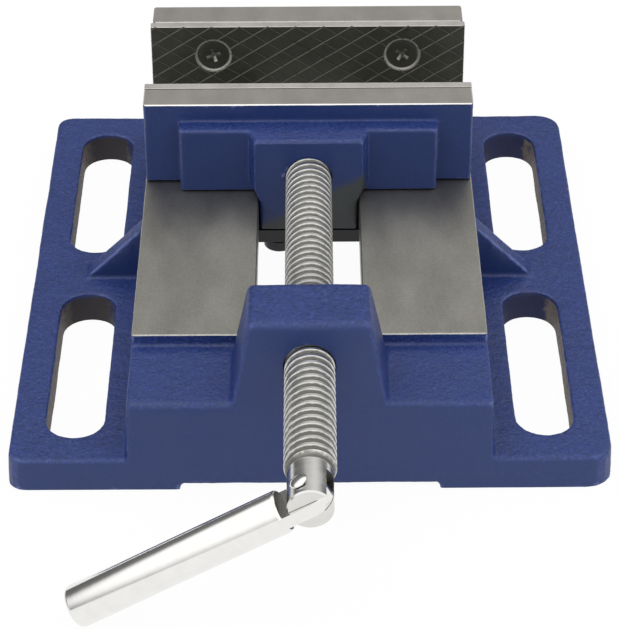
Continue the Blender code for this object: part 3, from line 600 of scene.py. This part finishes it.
def cast_blank(obj, voxel, triangles, softer=None):
    """Soften a drawn body into a casting: remeshed, rounded edges, sand skin, then thinned.

    softer gives each point's share in SOFTER_ROUNDS more rounds of smoothing.
    """
    modify(obj, "REMESH", mode="VOXEL", voxel_size=voxel)
    modify(obj, "SMOOTH", factor=0.5, iterations=4)
    if softer:
        group = obj.vertex_groups.new(name="softer")
        shares = softer(*points_of(obj.data).T)
        for index in np.nonzero(shares > 0.02)[0]:
            group.add([int(index)], float(shares[index]), "REPLACE")
        modify(obj, "SMOOTH", factor=0.5, iterations=SOFTER_ROUNDS, vertex_group=group.name)
        obj.vertex_groups.clear()
    run_tree(obj, CAST_SKIN, {"Grain": 1.9 * MM, "Wave": 16 * MM, "Grain depth": 0.16 * MM,
                              "Wave depth": 0.45 * MM, "Material": ENAMEL})
    modify(obj, "DECIMATE", ratio=min(1.0, triangles / (2 * len(obj.data.polygons))))


def lid(x0, x1, y0, y1, z, skirt, coat, edge, rear_skirt=True):
    """Cutter that grinds a flat at height z and breaks its edges, the rear one with rear_skirt."""
    y_in, y_out = (y1 - BROKEN_EDGE, y1 + skirt) if rear_skirt else (y1, y1)
    bm = loft([rectangle(x0 + BROKEN_EDGE, x1 - BROKEN_EDGE, y0 + BROKEN_EDGE, y_in, z)]
              + [rectangle(x0 - skirt, x1 + skirt, y0 - skirt, y_out, level)
                 for level in (z - BROKEN_EDGE - skirt, z + LID_HIGH)])
    bm.faces.ensure_lookup_table()
    for face in bm.faces[:4]:
        face.material_index = 1
    return new_object("lid", bm, [coat, edge])


def mark_edges(mesh, reach, wear=None):
    """Attribute edge: how convex the surface is at each point, for rubbed paint and a painted
    highlight.

    The last argument gives each point's share of the rubbing and of the painted highlight.
    """
    places = points_of(mesh)
    normals = points_of(mesh, key="normal")
    ends = np.empty(len(mesh.edges) * 2, int)
    mesh.edges.foreach_get("vertices", ends)
    a, b = ends.reshape(-1, 2).T
    along = places[b] - places[a]
    length = np.linalg.norm(along, axis=1) + 1e-9
    bend = np.zeros(len(places))
    count = np.zeros(len(places))
    for near, sign in ((a, 1.0), (b, -1.0)):
        np.add.at(bend, near, -sign * (along * normals[near]).sum(1) / length ** 2)
        np.add.at(count, near, 1.0)
    count = np.maximum(count, 1)
    bend = bend / count * reach
    for _ in range(2):
        spread = np.zeros(len(places))
        np.add.at(spread, a, bend[b])
        np.add.at(spread, b, bend[a])
        bend = 0.5 * bend + 0.5 * spread / count
    mark(mesh, "edge", bend * wear(*places.T) if wear else bend)


def mark_painted_shade(mesh):
    """Attribute for painted shade: the screw's shadow and the dark under it, on the nose and the
    keel.
    """
    x, y, z = points_of(mesh).T
    # Painted shade, starting higher on the right of the screw where its shadow falls
    film = (SHADE_Z + SHADE_SLANT * x - z) / SHADE_FADE + 0.5
    film[(abs(x) > NOSE_HALF) | (y > SLIDE_LOW.y + NOSE_DEPTH)] = 0.0
    mark(mesh, "painted_shade", film)


def left_ledge_edge(x, y, z):
    """How near a point lies to the well rounded front edge of the left ledge."""
    off = np.hypot(y - FRONT, z - LEDGE_Z) / SOFT_LEDGE
    return np.exp(-off ** 2) * (x < -BOSS_FOOT_HALF)


def base_wear_and_highlight(x, y, z):
    """Rubbed paint and painted highlight: most on the webs' ridges, hardly any on the left ledge's
    round edge.
    """
    beside, above, ahead = 1 * MM, 1.5 * MM, 20 * MM
    on_web = (abs(x) > WAY_HALF + beside) & (z > PLATE_THICK + above) & (y < SEAT_Y - ahead)
    return (1.0 - left_ledge_edge(x, y, z)) * np.where(on_web, WEB_WEAR_AND_HIGHLIGHT, 1.0)


def vise_base():
    """The base casting: blank with machining allowance, then ways, gap, jaw seat and bore."""
    obj = merged_copy("enamelled_base", "base_casting")
    x, y, z = points_of(obj.data).T
    on_sole = abs(z) < ON_FACE
    on_ways = (abs(z - WAY_TOP) < ON_FACE) & (y > WAY_NEAR_Y - ON_FACE)
    in_gap = ((abs(abs(x) - GAP_HALF) < ON_FACE) & (z > GAP_WALL_Z)
              & (y > GAP_NEAR_Y - ON_FACE))
    jaw_top = (z > JAW_TOP - FIXED_TOP_REACH) & (y > SEAT_Y - ON_FACE)
    jaw_seat = (abs(y - SEAT_Y) < ON_FACE) & (z > WAY_TOP + ON_FACE)
    in_bore = ((abs(np.hypot(x, z - SCREW_Z) - BORE_R) < ON_BORE)
               & (y < GAP_NEAR_Y + ALLOWANCE))
    z[on_sole] -= SOLE_ALLOWANCE
    z[on_ways] += ALLOWANCE
    x[in_gap] -= np.sign(x[in_gap]) * ALLOWANCE
    z[jaw_top] += 2 * ALLOWANCE
    y[jaw_seat] -= ALLOWANCE
    x[in_bore] *= BORE_SHARE
    z[in_bore] = SCREW_Z + (z[in_bore] - SCREW_Z) * BORE_SHARE
    set_points(obj.data, x, y, z)
    cast_blank(obj, voxel=0.5 * MM, triangles=190000, softer=left_ledge_edge)

    flare = 2.0 * MM
    gap = [rectangle(-GAP_HALF - out, GAP_HALF + out, GAP_NEAR_Y - out, GAP_FAR_Y + out, level,
                     GAP_CORNER + out)
           for out, level in ((0.0, IN_HOLLOW), (0.0, WAY_TOP - BROKEN_EDGE),
                              (BROKEN_EDGE + flare, WAY_TOP + flare))]
    wide, long = BASE_HIGH.x + CUTTER_PAST, BASE_HIGH.y + CUTTER_PAST
    sole = [rectangle(-wide, wide, -long, long, level) for level in (-CUTTER_PAST, 0.0)]
    bore = [(BORE_R, FRONT - CUTTER_PAST), (BORE_R, GAP_NEAR_Y + CUTTER_PAST)]
    boolean(obj, [new_object("sole_cutter", loft(sole), [GROUND]),
                  lid(-WAY_HALF, WAY_HALF, WAY_NEAR_Y, SEAT_Y, WAY_TOP, skirt=2.3 * MM,
                      coat=GROUND, edge=WORN_EDGE, rear_skirt=False),
                  lid(-FIXED_JAW_HALF, FIXED_JAW_HALF, SEAT_Y, SEAT_Y + FIXED_JAW_THICK,
                      JAW_TOP, skirt=2.5 * MM, coat=GROUND_ACROSS, edge=WORN_EDGE),
                  new_object("gap_cutter", loft(gap), [GROUND]),
                  on_screw_axis("bore_cutter", bore, 0.0, GROUND)], "DIFFERENCE")
    mark_edges(obj.data, reach=1.2 * MM, wear=base_wear_and_highlight)
    smooth(obj, angle=40)
    place_piece(obj, "base", "blue_enamel", "base_casting")


def sliding_jaw():
    """The sliding jaw casting: blank, then its ground top and the screw's mouth."""
    obj = merged_copy("enamelled_sliding_jaw", "moving_jaw")
    x, y, z = points_of(obj.data).T
    top = z > JAW_TOP - SLIDE_TOP_REACH
    mouth = ((abs(np.hypot(x, z - SCREW_Z) - BORE_R) < ON_BORE)
             & (y < SLIDE_LOW.y + MOUTH_REACH))
    z[top] += SLIDE_TOP_ALLOWANCE
    x[mouth] *= MOUTH_SHARE
    z[mouth] = SCREW_Z + (z[mouth] - SCREW_Z) * MOUTH_SHARE
    set_points(obj.data, x, y, z)
    cast_blank(obj, voxel=0.35 * MM, triangles=150000)

    bore = [(BORE_R, SLIDE_LOW.y - BODY_PAST), (BORE_R, SLIDE_LOW.y + MOUTH_DEPTH)]
    boolean(obj, [lid(SLIDE_LOW.x, SLIDE_HIGH.x, SLIDE_HIGH.y - SLIDE_WALL, SLIDE_HIGH.y,
                      JAW_TOP, skirt=2.0 * MM, coat=GROUND_ACROSS, edge=BRIGHT_EDGE_HIGHLIGHT),
                  on_screw_axis("mouth_cutter", bore, 0.0, GROUND)], "DIFFERENCE")
    mark_edges(obj.data, reach=0.8 * MM)
    mark_painted_shade(obj.data)
    smooth(obj, angle=40)
    place_piece(obj, "moving_jaw", "blue_enamel", "moving_jaw")


# Turned pieces

def helix_tree():
    """Geometry Nodes: wind one pitch of a rounded thread into a screw surface along +Z."""
    tree, given = geometry_tree("rounded_thread", {
        "Pitch": "Float", "Crest radius": "Float", "Root radius": "Float", "Turns": "Float",
        "Steps per turn": "Int"})
    profile_points = 21
    crowding = 0.6                     # of the profile's points, towards the flanks
    steps = add(tree, "ShaderNodeMath", {
        0: given["Turns"], 1: given["Steps per turn"]}, operation="MULTIPLY")
    columns = add(tree, "ShaderNodeMath", {0: steps, 1: 1.0}, operation="ADD")
    grid = add(tree, "GeometryNodeMeshGrid", {
        "Size X": 1.0, "Size Y": 1.0, "Vertices X": columns, "Vertices Y": profile_points})
    # A point's column in the grid is its step along the helix, its row the place in the profile
    index = add(tree, "GeometryNodeInputIndex")
    column = index
    for operation, value in (("ADD", 0.5), ("DIVIDE", profile_points), ("FLOOR", 0.0)):
        column = add(tree, "ShaderNodeMath", {0: column, 1: value}, operation=operation)
    passed = add(tree, "ShaderNodeMath", {0: column, 1: profile_points}, operation="MULTIPLY")
    row = add(tree, "ShaderNodeMath", {0: index, 1: passed}, operation="SUBTRACT")
    even = add(tree, "ShaderNodeMath", {0: row, 1: profile_points - 1}, operation="DIVIDE")
    swing = add(tree, "ShaderNodeMath", {0: even, 1: 4 * math.pi}, operation="MULTIPLY")
    swing = add(tree, "ShaderNodeMath", {0: swing}, operation="SINE")
    share = add(tree, "ShaderNodeMath", {
        0: swing, 1: crowding / (4 * math.pi), 2: even}, operation="MULTIPLY_ADD")
    # Round crest in the middle of the pitch, round roots at its ends
    off = add(tree, "ShaderNodeMath", {0: share, 1: 0.5}, operation="SUBTRACT")
    off = add(tree, "ShaderNodeMath", {0: off}, operation="ABSOLUTE")
    radius = add(tree, "ShaderNodeMapRange", {
        "Value": off, "From Min": 0.14, "From Max": 0.31, "To Min": given["Crest radius"],
        "To Max": given["Root radius"]}, interpolation_type="SMOOTHERSTEP")
    turn = add(tree, "ShaderNodeMath", {0: column, 1: given["Steps per turn"]}, operation="DIVIDE")
    angle = add(tree, "ShaderNodeMath", {0: turn, 1: 2 * math.pi}, operation="MULTIPLY")
    spot = {}
    for axis, operation in (("X", "COSINE"), ("Y", "SINE")):
        ratio = add(tree, "ShaderNodeMath", {0: angle}, operation=operation)
        spot[axis] = add(tree, "ShaderNodeMath", {0: radius, 1: ratio}, operation="MULTIPLY")
    rise = add(tree, "ShaderNodeMath", {0: turn, 1: share}, operation="ADD")
    spot["Z"] = add(tree, "ShaderNodeMath", {0: given["Pitch"], 1: rise}, operation="MULTIPLY")
    moved = add(tree, "GeometryNodeSetPosition", {
        "Geometry": grid, "Position": add(tree, "ShaderNodeCombineXYZ", spot)})
    welded = add(tree, "GeometryNodeMergeByDistance", {"Geometry": moved, "Distance": 0.01 * MM})
    return end_tree(tree, welded, given["Material"])


def thread_body(length):
    """A closed right-hand screw body along +Z, longer than needed at both ends."""
    bm = bmesh.new()
    bm.verts.new((0, 0, 0))
    obj = new_object("thread", bm)
    spare_turns = 4
    run_tree(obj, helix_tree(), {
        "Pitch": THREAD_PITCH, "Crest radius": THREAD_R - CREST_UNDER,
        "Root radius": THREAD_R - THREAD_DEPTH, "Steps per turn": THREAD_FACETS,
        "Turns": float(math.ceil(length / THREAD_PITCH) + spare_turns),
        "Material": SCREW_ZINC})
    bm = bmesh.new()
    bm.from_mesh(obj.data)
    open_edges = [e for e in bm.edges if e.is_boundary]
    bmesh.ops.holes_fill(bm, edges=open_edges, sides=0)
    bmesh.ops.triangulate(bm, faces=[f for f in bm.faces if len(f.verts) > 4])
    bmesh.ops.recalc_face_normals(bm, faces=bm.faces)
    shifted(bm, 0, 0, (THREAD_START - LEAD_IN) * THREAD_PITCH).to_mesh(obj.data)
    bm.free()
    return obj


def mark_grooves(mesh, low, high):
    """Attribute groove: THREAD_MARK on the thread's crests to 1 at its root, 0 off the thread."""
    x, y, z = points_of(mesh).T
    depth = (THREAD_R - np.hypot(x, z - SCREW_Z)) / THREAD_DEPTH
    depth = THREAD_MARK + (1.0 - THREAD_MARK) * depth
    depth[(y < low) | (y > high)] = 0.0
    mark(mesh, "groove", depth)


def joint_frame(body):
    """Place and turn of the handle joint's pieces: X along the handle or screw, Z the rivet."""
    fold = [j for j in frame["joints"] if j["name"] == "handle_fold"][0]
    pivot, rivet = Vector(fold["pos_m"]), Vector(fold["axis"]).normalized()
    if body == "handle":
        ahead = Vector(points_of(frame["nodes"]["handle_bar"].data).mean(0)) - pivot
        ahead = (ahead - rivet * ahead.dot(rivet)).normalized()
    else:
        ahead = Vector((0.0, -1.0, 0.0))
    turn = Matrix((ahead, rivet.cross(ahead), rivet)).transposed().to_4x4()
    return Matrix.Translation(pivot) @ turn


def at_joint(name, bm, coat):
    """An object of the screw's side, drawn in the frame of the handle's joint."""
    bm.transform(joint_frame("lead_screw"))
    return new_object(name, bm, [coat])


def lead_screw():
    """Thread, journal with its groove, neck and fork, in one turned piece."""
    fork_end = SCREW_LOW.y
    thread_rear = SCREW_HIGH.y - JOURNAL_LENGTH
    thread_front = fork_end + NECK_LENGTH
    length = thread_rear - thread_front
    core = THREAD_R - THREAD_DEPTH - CORE_UNDER
    obj = thread_body(length)
    envelope = [(core, 0.0), (THREAD_R, RUN_OUT), (THREAD_R, length - THREAD_END_CHAMFER),
                (core, length)]
    boolean(obj, [new_object("envelope", revolve(envelope, ROUND), [SCREW_ZINC])], "INTERSECT")
    obj.data.transform(Matrix.Translation((0, thread_front, SCREW_Z))
                       @ Matrix.Rotation(math.radians(-90), 4, "X"))
    middle, half = JOURNAL_LENGTH - GROOVE_FROM_END, GROOVE_WIDTH / 2
    journal = [(core, -BODY_PAST), (core, 0.0), (JOURNAL_R, 0.0),
               (JOURNAL_R, middle - half), (GROOVE_R, middle - half),
               (GROOVE_R, middle + half), (JOURNAL_R, middle + half),
               (JOURNAL_R, JOURNAL_LENGTH - TURNED_EDGE),
               (JOURNAL_R - TURNED_EDGE, JOURNAL_LENGTH)]
    neck = [(NECK_R - FORK_EDGE, 0.0), (NECK_R, FORK_EDGE), (NECK_R, NECK_LENGTH - TURNED_EDGE),
            (core, NECK_LENGTH + 0.2 * MM), (core, NECK_LENGTH + BODY_PAST)]
    boolean(obj, [on_screw_axis("journal", journal, thread_rear, SCREW_ZINC),
                  on_screw_axis("neck", neck, fork_end, SCREW_ZINC)], "UNION")
    past = 2 * MM
    wide = NECK_R + past
    slot_floor, slot_mouth = (
        loft([rectangle(start, end, -wide, wide, level)
              for level in (-FORK_SLOT / 2, FORK_SLOT / 2)])
        for start, end in ((PIVOT_FROM_END - FORK_DEPTH, SHADE_END),
                           (SHADE_END - 1 * MM, PIVOT_FROM_END + past)))
    hole = revolve([(RIVET_R + GAP, -wide), (RIVET_R + GAP, wide)], SMALL)
    # The slot's floor and the rivet hole get the zinc with painted shade
    boolean(obj, [at_joint("slot_floor", slot_floor, ZINC_IN_PAINTED_SHADE),
                  at_joint("slot_mouth", slot_mouth, SCREW_ZINC),
                  at_joint("rivet_hole", hole, ZINC_IN_PAINTED_SHADE)], "DIFFERENCE")
    mark_grooves(obj.data, thread_front, thread_rear)
    smooth(obj, angle=35)
    place_piece(obj, "lead_screw", "zinc_plated_steel", "lead_screw")


def joint_rivet():
    """Rivet with a low dome at each end."""
    seat = NECK_R + GAP
    dome = [(RIVET_HEAD_R * math.cos(a), seat + RIVET_HEAD_HIGH * math.sin(a))
            for a in (math.radians(d) for d in (0, 12, 25, 40, 55, 70, 82))]
    upper = [(RIVET_R, seat)] + dome
    lower = [(r, -h) for r, h in reversed(upper)]
    obj = at_joint("joint_rivet", revolve(lower + upper, SMALL), ZINC)
    smooth(obj, angle=35)
    place_piece(obj, "lead_screw", "zinc_plated_steel", "handle_rivet")


def swing_handle():
    """Round bar with a flat tongue that turns in the fork."""
    shoulder = [(HANDLE_R - SHOULDER_ROUND * (1 - math.sin(a)),
                 SHOULDER_FROM_PIVOT + SHOULDER_ROUND * (1 - math.cos(a)))
                for a in (math.pi / 2 * i / 6 for i in range(7))]
    tip = [(HANDLE_R - inwards * HANDLE_CHAMFER, HANDLE_LENGTH - back * HANDLE_CHAMFER)
           for inwards, back in ((0.0, 1.6), (0.25, 0.9), (0.8, 0.35), (1.6, 0.0))]
    bar = revolve([(HANDLE_R - 1.3 * SHOULDER_ROUND, SHOULDER_FROM_PIVOT)] + shoulder + tip,
                  ROUND)
    bar.transform(Matrix.Rotation(math.radians(90), 4, "Y"))
    obj = new_object("swing_handle", bar, [ZINC])
    half = FORK_SLOT / 2 - TONGUE_PLAY
    root = SHOULDER_FROM_PIVOT + TONGUE_ROOT
    outline = [(TONGUE_R * math.cos(a), TONGUE_R * math.sin(a))
               for a in (math.radians(90 + 180 * i / 32) for i in range(33))]
    outline += [(root, -TONGUE_R), (root, TONGUE_R)]
    tongue = loft([[(a, b, level) for a, b in outline] for level in (-half, half)])
    hole = revolve([(RIVET_R + GAP, -HANDLE_R), (RIVET_R + GAP, HANDLE_R)], SMALL)
    boolean(obj, [new_object("tongue", tongue, [ZINC])], "UNION")
    boolean(obj, [new_object("hole", hole, [ZINC])], "DIFFERENCE")
    # The shoulder's flat face gets the zinc with painted shade
    obj.data.materials.append(ZINC_IN_PAINTED_SHADE)
    for face in obj.data.polygons:
        if face.normal.x < -0.9 and abs(face.center.x - SHOULDER_FROM_PIVOT) < 0.1 * MM:
            face.material_index = len(obj.data.materials) - 1
    obj.data.transform(joint_frame("handle"))
    smooth(obj, angle=30)
    place_piece(obj, "handle", "zinc_plated_steel", "handle_bar")


# Jaw plates and screws

def rows_tree():
    """Geometry Nodes: repeat a cutter in a row along X."""
    tree, given = geometry_tree("row_of_cutters", {"Count": "Int", "First": "Float",
                                                   "Pitch": "Float"})
    first, pitch = (add(tree, "ShaderNodeCombineXYZ", {"X": given[name]})
                    for name in ("First", "Pitch"))
    line = add(tree, "GeometryNodeMeshLine", {
        "Count": given["Count"], "Start Location": first, "Offset": pitch})
    copies = add(tree, "GeometryNodeInstanceOnPoints", {
        "Points": line, "Instance": given["Geometry"]})
    return end_tree(tree, copies, given["Material"])


ROWS = rows_tree()


def hatch_cutter(slope, face_y, side, low, high, cut):
    """One family of V grooves across a plate's face; side is -1 where the face looks to -Y."""
    half_span = (high.z - low.z) / math.sin(abs(slope)) + HATCH_SPARE
    wide = HATCH_WIDTH / 2 * (1 + HATCH_ABOVE / HATCH_DEPTH)
    groove = loft([[(along, side * HATCH_ABOVE, -wide), (along, side * HATCH_ABOVE, wide),
                    (along, -side * HATCH_DEPTH, 0.0)] for along in (-half_span, half_span)])
    groove.transform(Matrix.Rotation(-slope, 4, "Y"))
    obj = new_object("groove", groove)
    reach = (high.x - low.x) + 2 * half_span
    count = 2 * int(reach / HATCH_PITCH / 2) + 1
    run_tree(obj, ROWS, {"Count": count, "First": -(count // 2) * HATCH_PITCH,
                         "Pitch": HATCH_PITCH, "Material": cut})
    obj.data.transform(Matrix.Translation((HATCH_MEET, face_y, high.z)))
    return obj


def jaw_plate(name, node, body, side):
    """Hardened plate with a diamond hatch and two countersinks; its edges are ground bare."""
    low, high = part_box(node)
    face_y = low.y if side < 0 else high.y
    rings = [rectangle(low.x + inset, high.x - inset, low.z + inset, high.z - inset, y,
                       PLATE_CORNER, 2)
             for inset, y in ((PLATE_EDGE, low.y), (0.0, low.y + PLATE_EDGE),
                              (0.0, high.y - PLATE_EDGE), (PLATE_EDGE, high.y))]
    obj = new_object(name, loft([[(x, y, z) for x, z, y in ring] for ring in rings]),
                     [BLACK, GROUND_STEEL])
    seat = JAW_SCREW_HEAD_R + GAP
    hole_r = JAW_SCREW_R + GAP
    sink = [(seat + SINK_RING, -SINK_ABOVE), (seat + SINK_RING, SINK_RING_DEEP),
            (seat, SINK_LIP), (hole_r, seat - hole_r), (hole_r, SINK_THROUGH)]
    cutters = []
    for x in (-JAW_SCREW_X, JAW_SCREW_X):
        hole = along_y(revolve(sink, SMALL))
        if side > 0:
            hole.transform(Matrix.Rotation(math.pi, 4, "Z"))
        cutters.append(new_object("sink", shifted(hole, x, face_y, JAW_SCREW_Z), [SINK_GREY]))
    # Grooves of one slope get the cut steel with painted shade, the others the plain cut steel
    for slope, cut in ((-HATCH_SLOPE, HATCH_SHADED), (HATCH_SLOPE, HATCH_CUT)):
        cutters.append(hatch_cutter(slope, face_y, side, low, high, cut))
    boolean(obj, cutters, "DIFFERENCE")
    for face in obj.data.polygons:
        if face.material_index == 0 and max(abs(face.normal.x), abs(face.normal.z)) > 0.5:
            face.material_index = 1
    smooth(obj, angle=25)
    place_piece(obj, body, "hardened_steel", node)


def screws_tree():
    """Geometry Nodes: set a screw on each point, each turned by chance about its own axis."""
    tree, given = geometry_tree("set_of_screws", {"Screw": "Object", "Seed": "Int",
                                                  "Tilt": "Vector"})
    screw = add(tree, "GeometryNodeObjectInfo", {"Object": given["Screw"]}).outputs["Geometry"]
    chance = add(tree, "FunctionNodeRandomValue", {"Seed": given["Seed"]}, data_type="FLOAT")
    turn = add(tree, "ShaderNodeMath", {0: chance, 1: math.pi}, operation="MULTIPLY")
    spin = add(tree, "ShaderNodeCombineXYZ", {"Z": turn})
    places = add(tree, "GeometryNodeMeshToPoints", {"Mesh": given["Geometry"]})
    set_on = add(tree, "GeometryNodeInstanceOnPoints", {
        "Points": places, "Instance": screw, "Rotation": given["Tilt"]})
    spun = add(tree, "GeometryNodeRotateInstances", {"Instances": set_on, "Rotation": spin})
    # The recess keeps its own finish, which is the second material
    index = add(tree, "GeometryNodeInputMaterialIndex")
    outside = add(tree, "ShaderNodeMath", {0: index, 1: 0.5}, operation="LESS_THAN")
    return end_tree(tree, spun, given["Material"], outside)


SCREWS = screws_tree()


def cross_recess(radius, depth, width):
    """Cutters for a cross recess in a head whose face is at z = 0, looking to -Z."""
    arms = []
    for turn in (0.0, math.pi / 2):
        arm = loft([rectangle(-radius * long, radius * long, -width * wide, width * wide, z)
                    for long, wide, z in ((1, 0.5, -1.0 * MM), (1, 0.5, 0.0),
                                          (0.3, 0.35, depth))])
        arm.transform(Matrix.Rotation(turn, 4, "Z"))
        arms.append(new_object("arm", arm, [WORN_RECESS_HIGHLIGHT]))
    return arms


def screw_set(name, body, slot, profile, places, tilt, recess, seed, coat, nodes):
    """Screws of one kind on one body, each with a cross recess in its head."""
    screw = new_object("screw", revolve(profile, SMALL), [coat])
    boolean(screw, cross_recess(*recess), "DIFFERENCE", "EXACT")
    bm = bmesh.new()
    for place in places:
        bm.verts.new(place)
    obj = new_object(name, bm)
    run_tree(obj, SCREWS, {"Screw": screw, "Seed": seed, "Material": coat,
                           "Tilt": (math.radians(tilt), 0.0, 0.0)})
    bpy.data.objects.remove(screw)
    smooth(obj, angle=30)
    place_piece(obj, body, slot, *nodes)


def all_screws():
    """Countersunk screws of both jaw plates and pan head screws of the keeper plate."""
    rim = JAW_SCREW_HEAD_R - GAP
    countersunk = [(rim - 0.5 * MM, GAP - 0.1 * MM), (rim - 0.1 * MM, GAP),
                   (rim, GAP + 0.15 * MM), (rim, 2 * GAP),
                   (JAW_SCREW_R, JAW_SCREW_HEAD_R - JAW_SCREW_R + GAP),
                   (JAW_SCREW_R, JAW_SCREW_LENGTH - STEM_CHAMFER),
                   (JAW_SCREW_R - STEM_CHAMFER, JAW_SCREW_LENGTH)]
    for name, body, stem, y, tilt, seed in (
            ("fixed_plate_screws", "base", "fixed_jaw_screw_", PLATE_LOW.y, -90, 3),
            ("sliding_plate_screws", "moving_jaw", "moving_jaw_screw_", SLIDE_PLATE_FACE_Y,
             90, 5)):
        screw_set(name, body, "screw_steel", countersunk,
                  [(x, y, JAW_SCREW_Z) for x in (-JAW_SCREW_X, JAW_SCREW_X)], tilt, JAW_RECESS,
                  seed, JAW_SCREW_BLACK, [stem + "left", stem + "right"])

    nodes = ["keeper_screw_front", "keeper_screw_rear"]
    places = []
    for node in nodes:
        low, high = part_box(node)
        places.append(((low.x + high.x) / 2, (low.y + high.y) / 2, low.z))
    tall = high.z - low.z
    crown = [(KEEPER_HEAD_R * math.cos(a), KEEPER_HEAD_HIGH * (0.35 - 0.35 * math.sin(a)))
             for a in (math.radians(d) for d in (80, 65, 50, 35, 20, 0))]
    pan = crown + [(KEEPER_HEAD_R, KEEPER_HEAD_HIGH), (KEEPER_STEM_R, KEEPER_HEAD_HIGH),
                   (KEEPER_STEM_R, tall - STEM_CHAMFER), (KEEPER_STEM_R - STEM_CHAMFER, tall)]
    screw_set("keeper_screws", "moving_jaw", "dark_steel", pan, places, 0.0, KEEPER_RECESS, 11,
              FASTENER, nodes)


def plain_nodes():
    """CAD nodes whose shape is right get their finish."""
    for name in ("keeper_plate", "keeper_washer_front", "keeper_washer_rear",
                 "retaining_pin_left", "retaining_pin_right"):
        mesh = frame["nodes"][name].data
        mesh.materials.clear()
        mesh.materials.append(FASTENER)


# Stage

def camera():
    """Camera matched to the photograph: place, aim and focal length from a perspective fit."""
    focal_px, frame_px = 2517.3, 629.0
    stand = (-0.00005, FRONT - 0.55229, 0.44420)
    yaw, pitch, roll = (math.radians(a) for a in (0.009, 34.846, -0.324))
    made = bpy.data.cameras.new("photo_camera")
    made.sensor_fit, made.sensor_width = "AUTO", 36.0
    made.lens = made.sensor_width * focal_px / frame_px
    made.clip_start, made.clip_end = 0.05, 20.0
    obj = bpy.data.objects.new("photo_camera", made)
    forward = Vector((math.sin(yaw) * math.cos(pitch), math.cos(yaw) * math.cos(pitch),
                      -math.sin(pitch)))
    right = Vector((math.cos(yaw), -math.sin(yaw), 0.0))
    up = right.cross(forward)
    across = right * math.cos(roll) + up * math.sin(roll)
    upward = up * math.cos(roll) - right * math.sin(roll)
    turn = Matrix((across, upward, -forward)).transposed().to_4x4()
    obj.matrix_world = Matrix.Translation(stand) @ turn
    bpy.context.scene.collection.objects.link(obj)
    bpy.context.scene.camera = obj


def softbox(size, energy, place):
    """A round soft lamp that looks at the vise."""
    made = bpy.data.lights.new("softbox_above", "AREA")
    made.shape, made.size, made.energy = "DISK", size, energy
    obj = bpy.data.objects.new("softbox_above", made)
    obj.location = place
    obj.rotation_euler = (-Vector(place)).to_track_quat("-Z", "Y").to_euler()
    bpy.context.scene.collection.objects.link(obj)


def pale_floor():
    """Floor that is white to the camera and in reflections, and keeps the vise's shadow."""
    bm = bmesh.new()
    bmesh.ops.create_grid(bm, x_segments=1, y_segments=1, size=2.5)
    mat = bpy.data.materials.new("pale_floor")
    mat.use_nodes = True
    tree = mat.node_tree
    tree.nodes.clear()
    rays = add(tree, "ShaderNodeLightPath").outputs
    seen = rays["Is Camera Ray"]
    for kind in ("Is Glossy Ray", "Is Transmission Ray"):
        seen = add(tree, "ShaderNodeMath", {0: seen, 1: rays[kind]}, operation="MAXIMUM")
    share = add(tree, "ShaderNodeMath", {0: seen, 1: 0.96}, operation="MULTIPLY")
    matt = add(tree, "ShaderNodeBsdfDiffuse", {"Color": "EDEDED"})
    white = add(tree, "ShaderNodeEmission", {"Color": "FFFFFF", "Strength": 1.0})
    both = add(tree, "ShaderNodeMixShader", {0: share, 1: matt, 2: white})
    add(tree, "ShaderNodeOutputMaterial", {"Surface": both})
    new_object("floor", bm, [mat])


def studio():
    """White tent over the vise and on its right, open to a darker room low behind it.

    The tent's hem near the floor is shaded.
    """
    world = bpy.data.worlds.new("studio")
    world.use_nodes = True
    tree = world.node_tree
    tree.nodes.clear()
    rays = add(tree, "ShaderNodeLightPath").outputs
    way = add(tree, "ShaderNodeTexCoord").outputs["Generated"]
    way = add(tree, "ShaderNodeSeparateXYZ", {0: way}).outputs
    lean = add(tree, "ShaderNodeMath", {
        0: way["Y"], 1: TENT_TO_FRONT, 2: way["Z"]}, operation="MULTIPLY_ADD")
    rightward = add(tree, "ShaderNodeMath", {0: way["X"], 1: 0.0}, operation="MAXIMUM")
    lean = add(tree, "ShaderNodeMath", {
        0: rightward, 1: TENT_TO_RIGHT, 2: lean}, operation="MULTIPLY_ADD")
    level = add(tree, "ShaderNodeMapRange", {
        "Value": lean, "From Min": 0.16, "From Max": 0.49, "To Min": ROOM_DARK,
        "To Max": ROOM_BRIGHT}, interpolation_type="SMOOTHSTEP")
    hem = add(tree, "ShaderNodeMapRange", {
        "Value": way["Z"], "From Min": 0.1, "From Max": 0.38, "To Min": 0.68})
    level = add(tree, "ShaderNodeMath", {0: level, 1: hem}, operation="MULTIPLY")
    room = add(tree, "ShaderNodeBackground", {"Color": "FFFFFF", "Strength": level})
    back = add(tree, "ShaderNodeBackground", {"Color": "FFFFFF", "Strength": 1.0})
    both = add(tree, "ShaderNodeMixShader", {0: rays["Is Camera Ray"], 1: room, 2: back})
    add(tree, "ShaderNodeOutputWorld", {"Surface": both})
    bpy.context.scene.world = world
    bpy.context.scene.view_settings.view_transform = "Standard"
    softbox(0.9, 2.5, (-0.5, -0.25, 1.4))


camera()
pale_floor()
studio()
vise_base()
sliding_jaw()
lead_screw()
joint_rivet()
swing_handle()
jaw_plate("fixed_hatched_plate", "fixed_jaw_plate", "base", -1)
jaw_plate("sliding_hatched_plate", "moving_jaw_plate", "moving_jaw", 1)
all_screws()
plain_nodes()
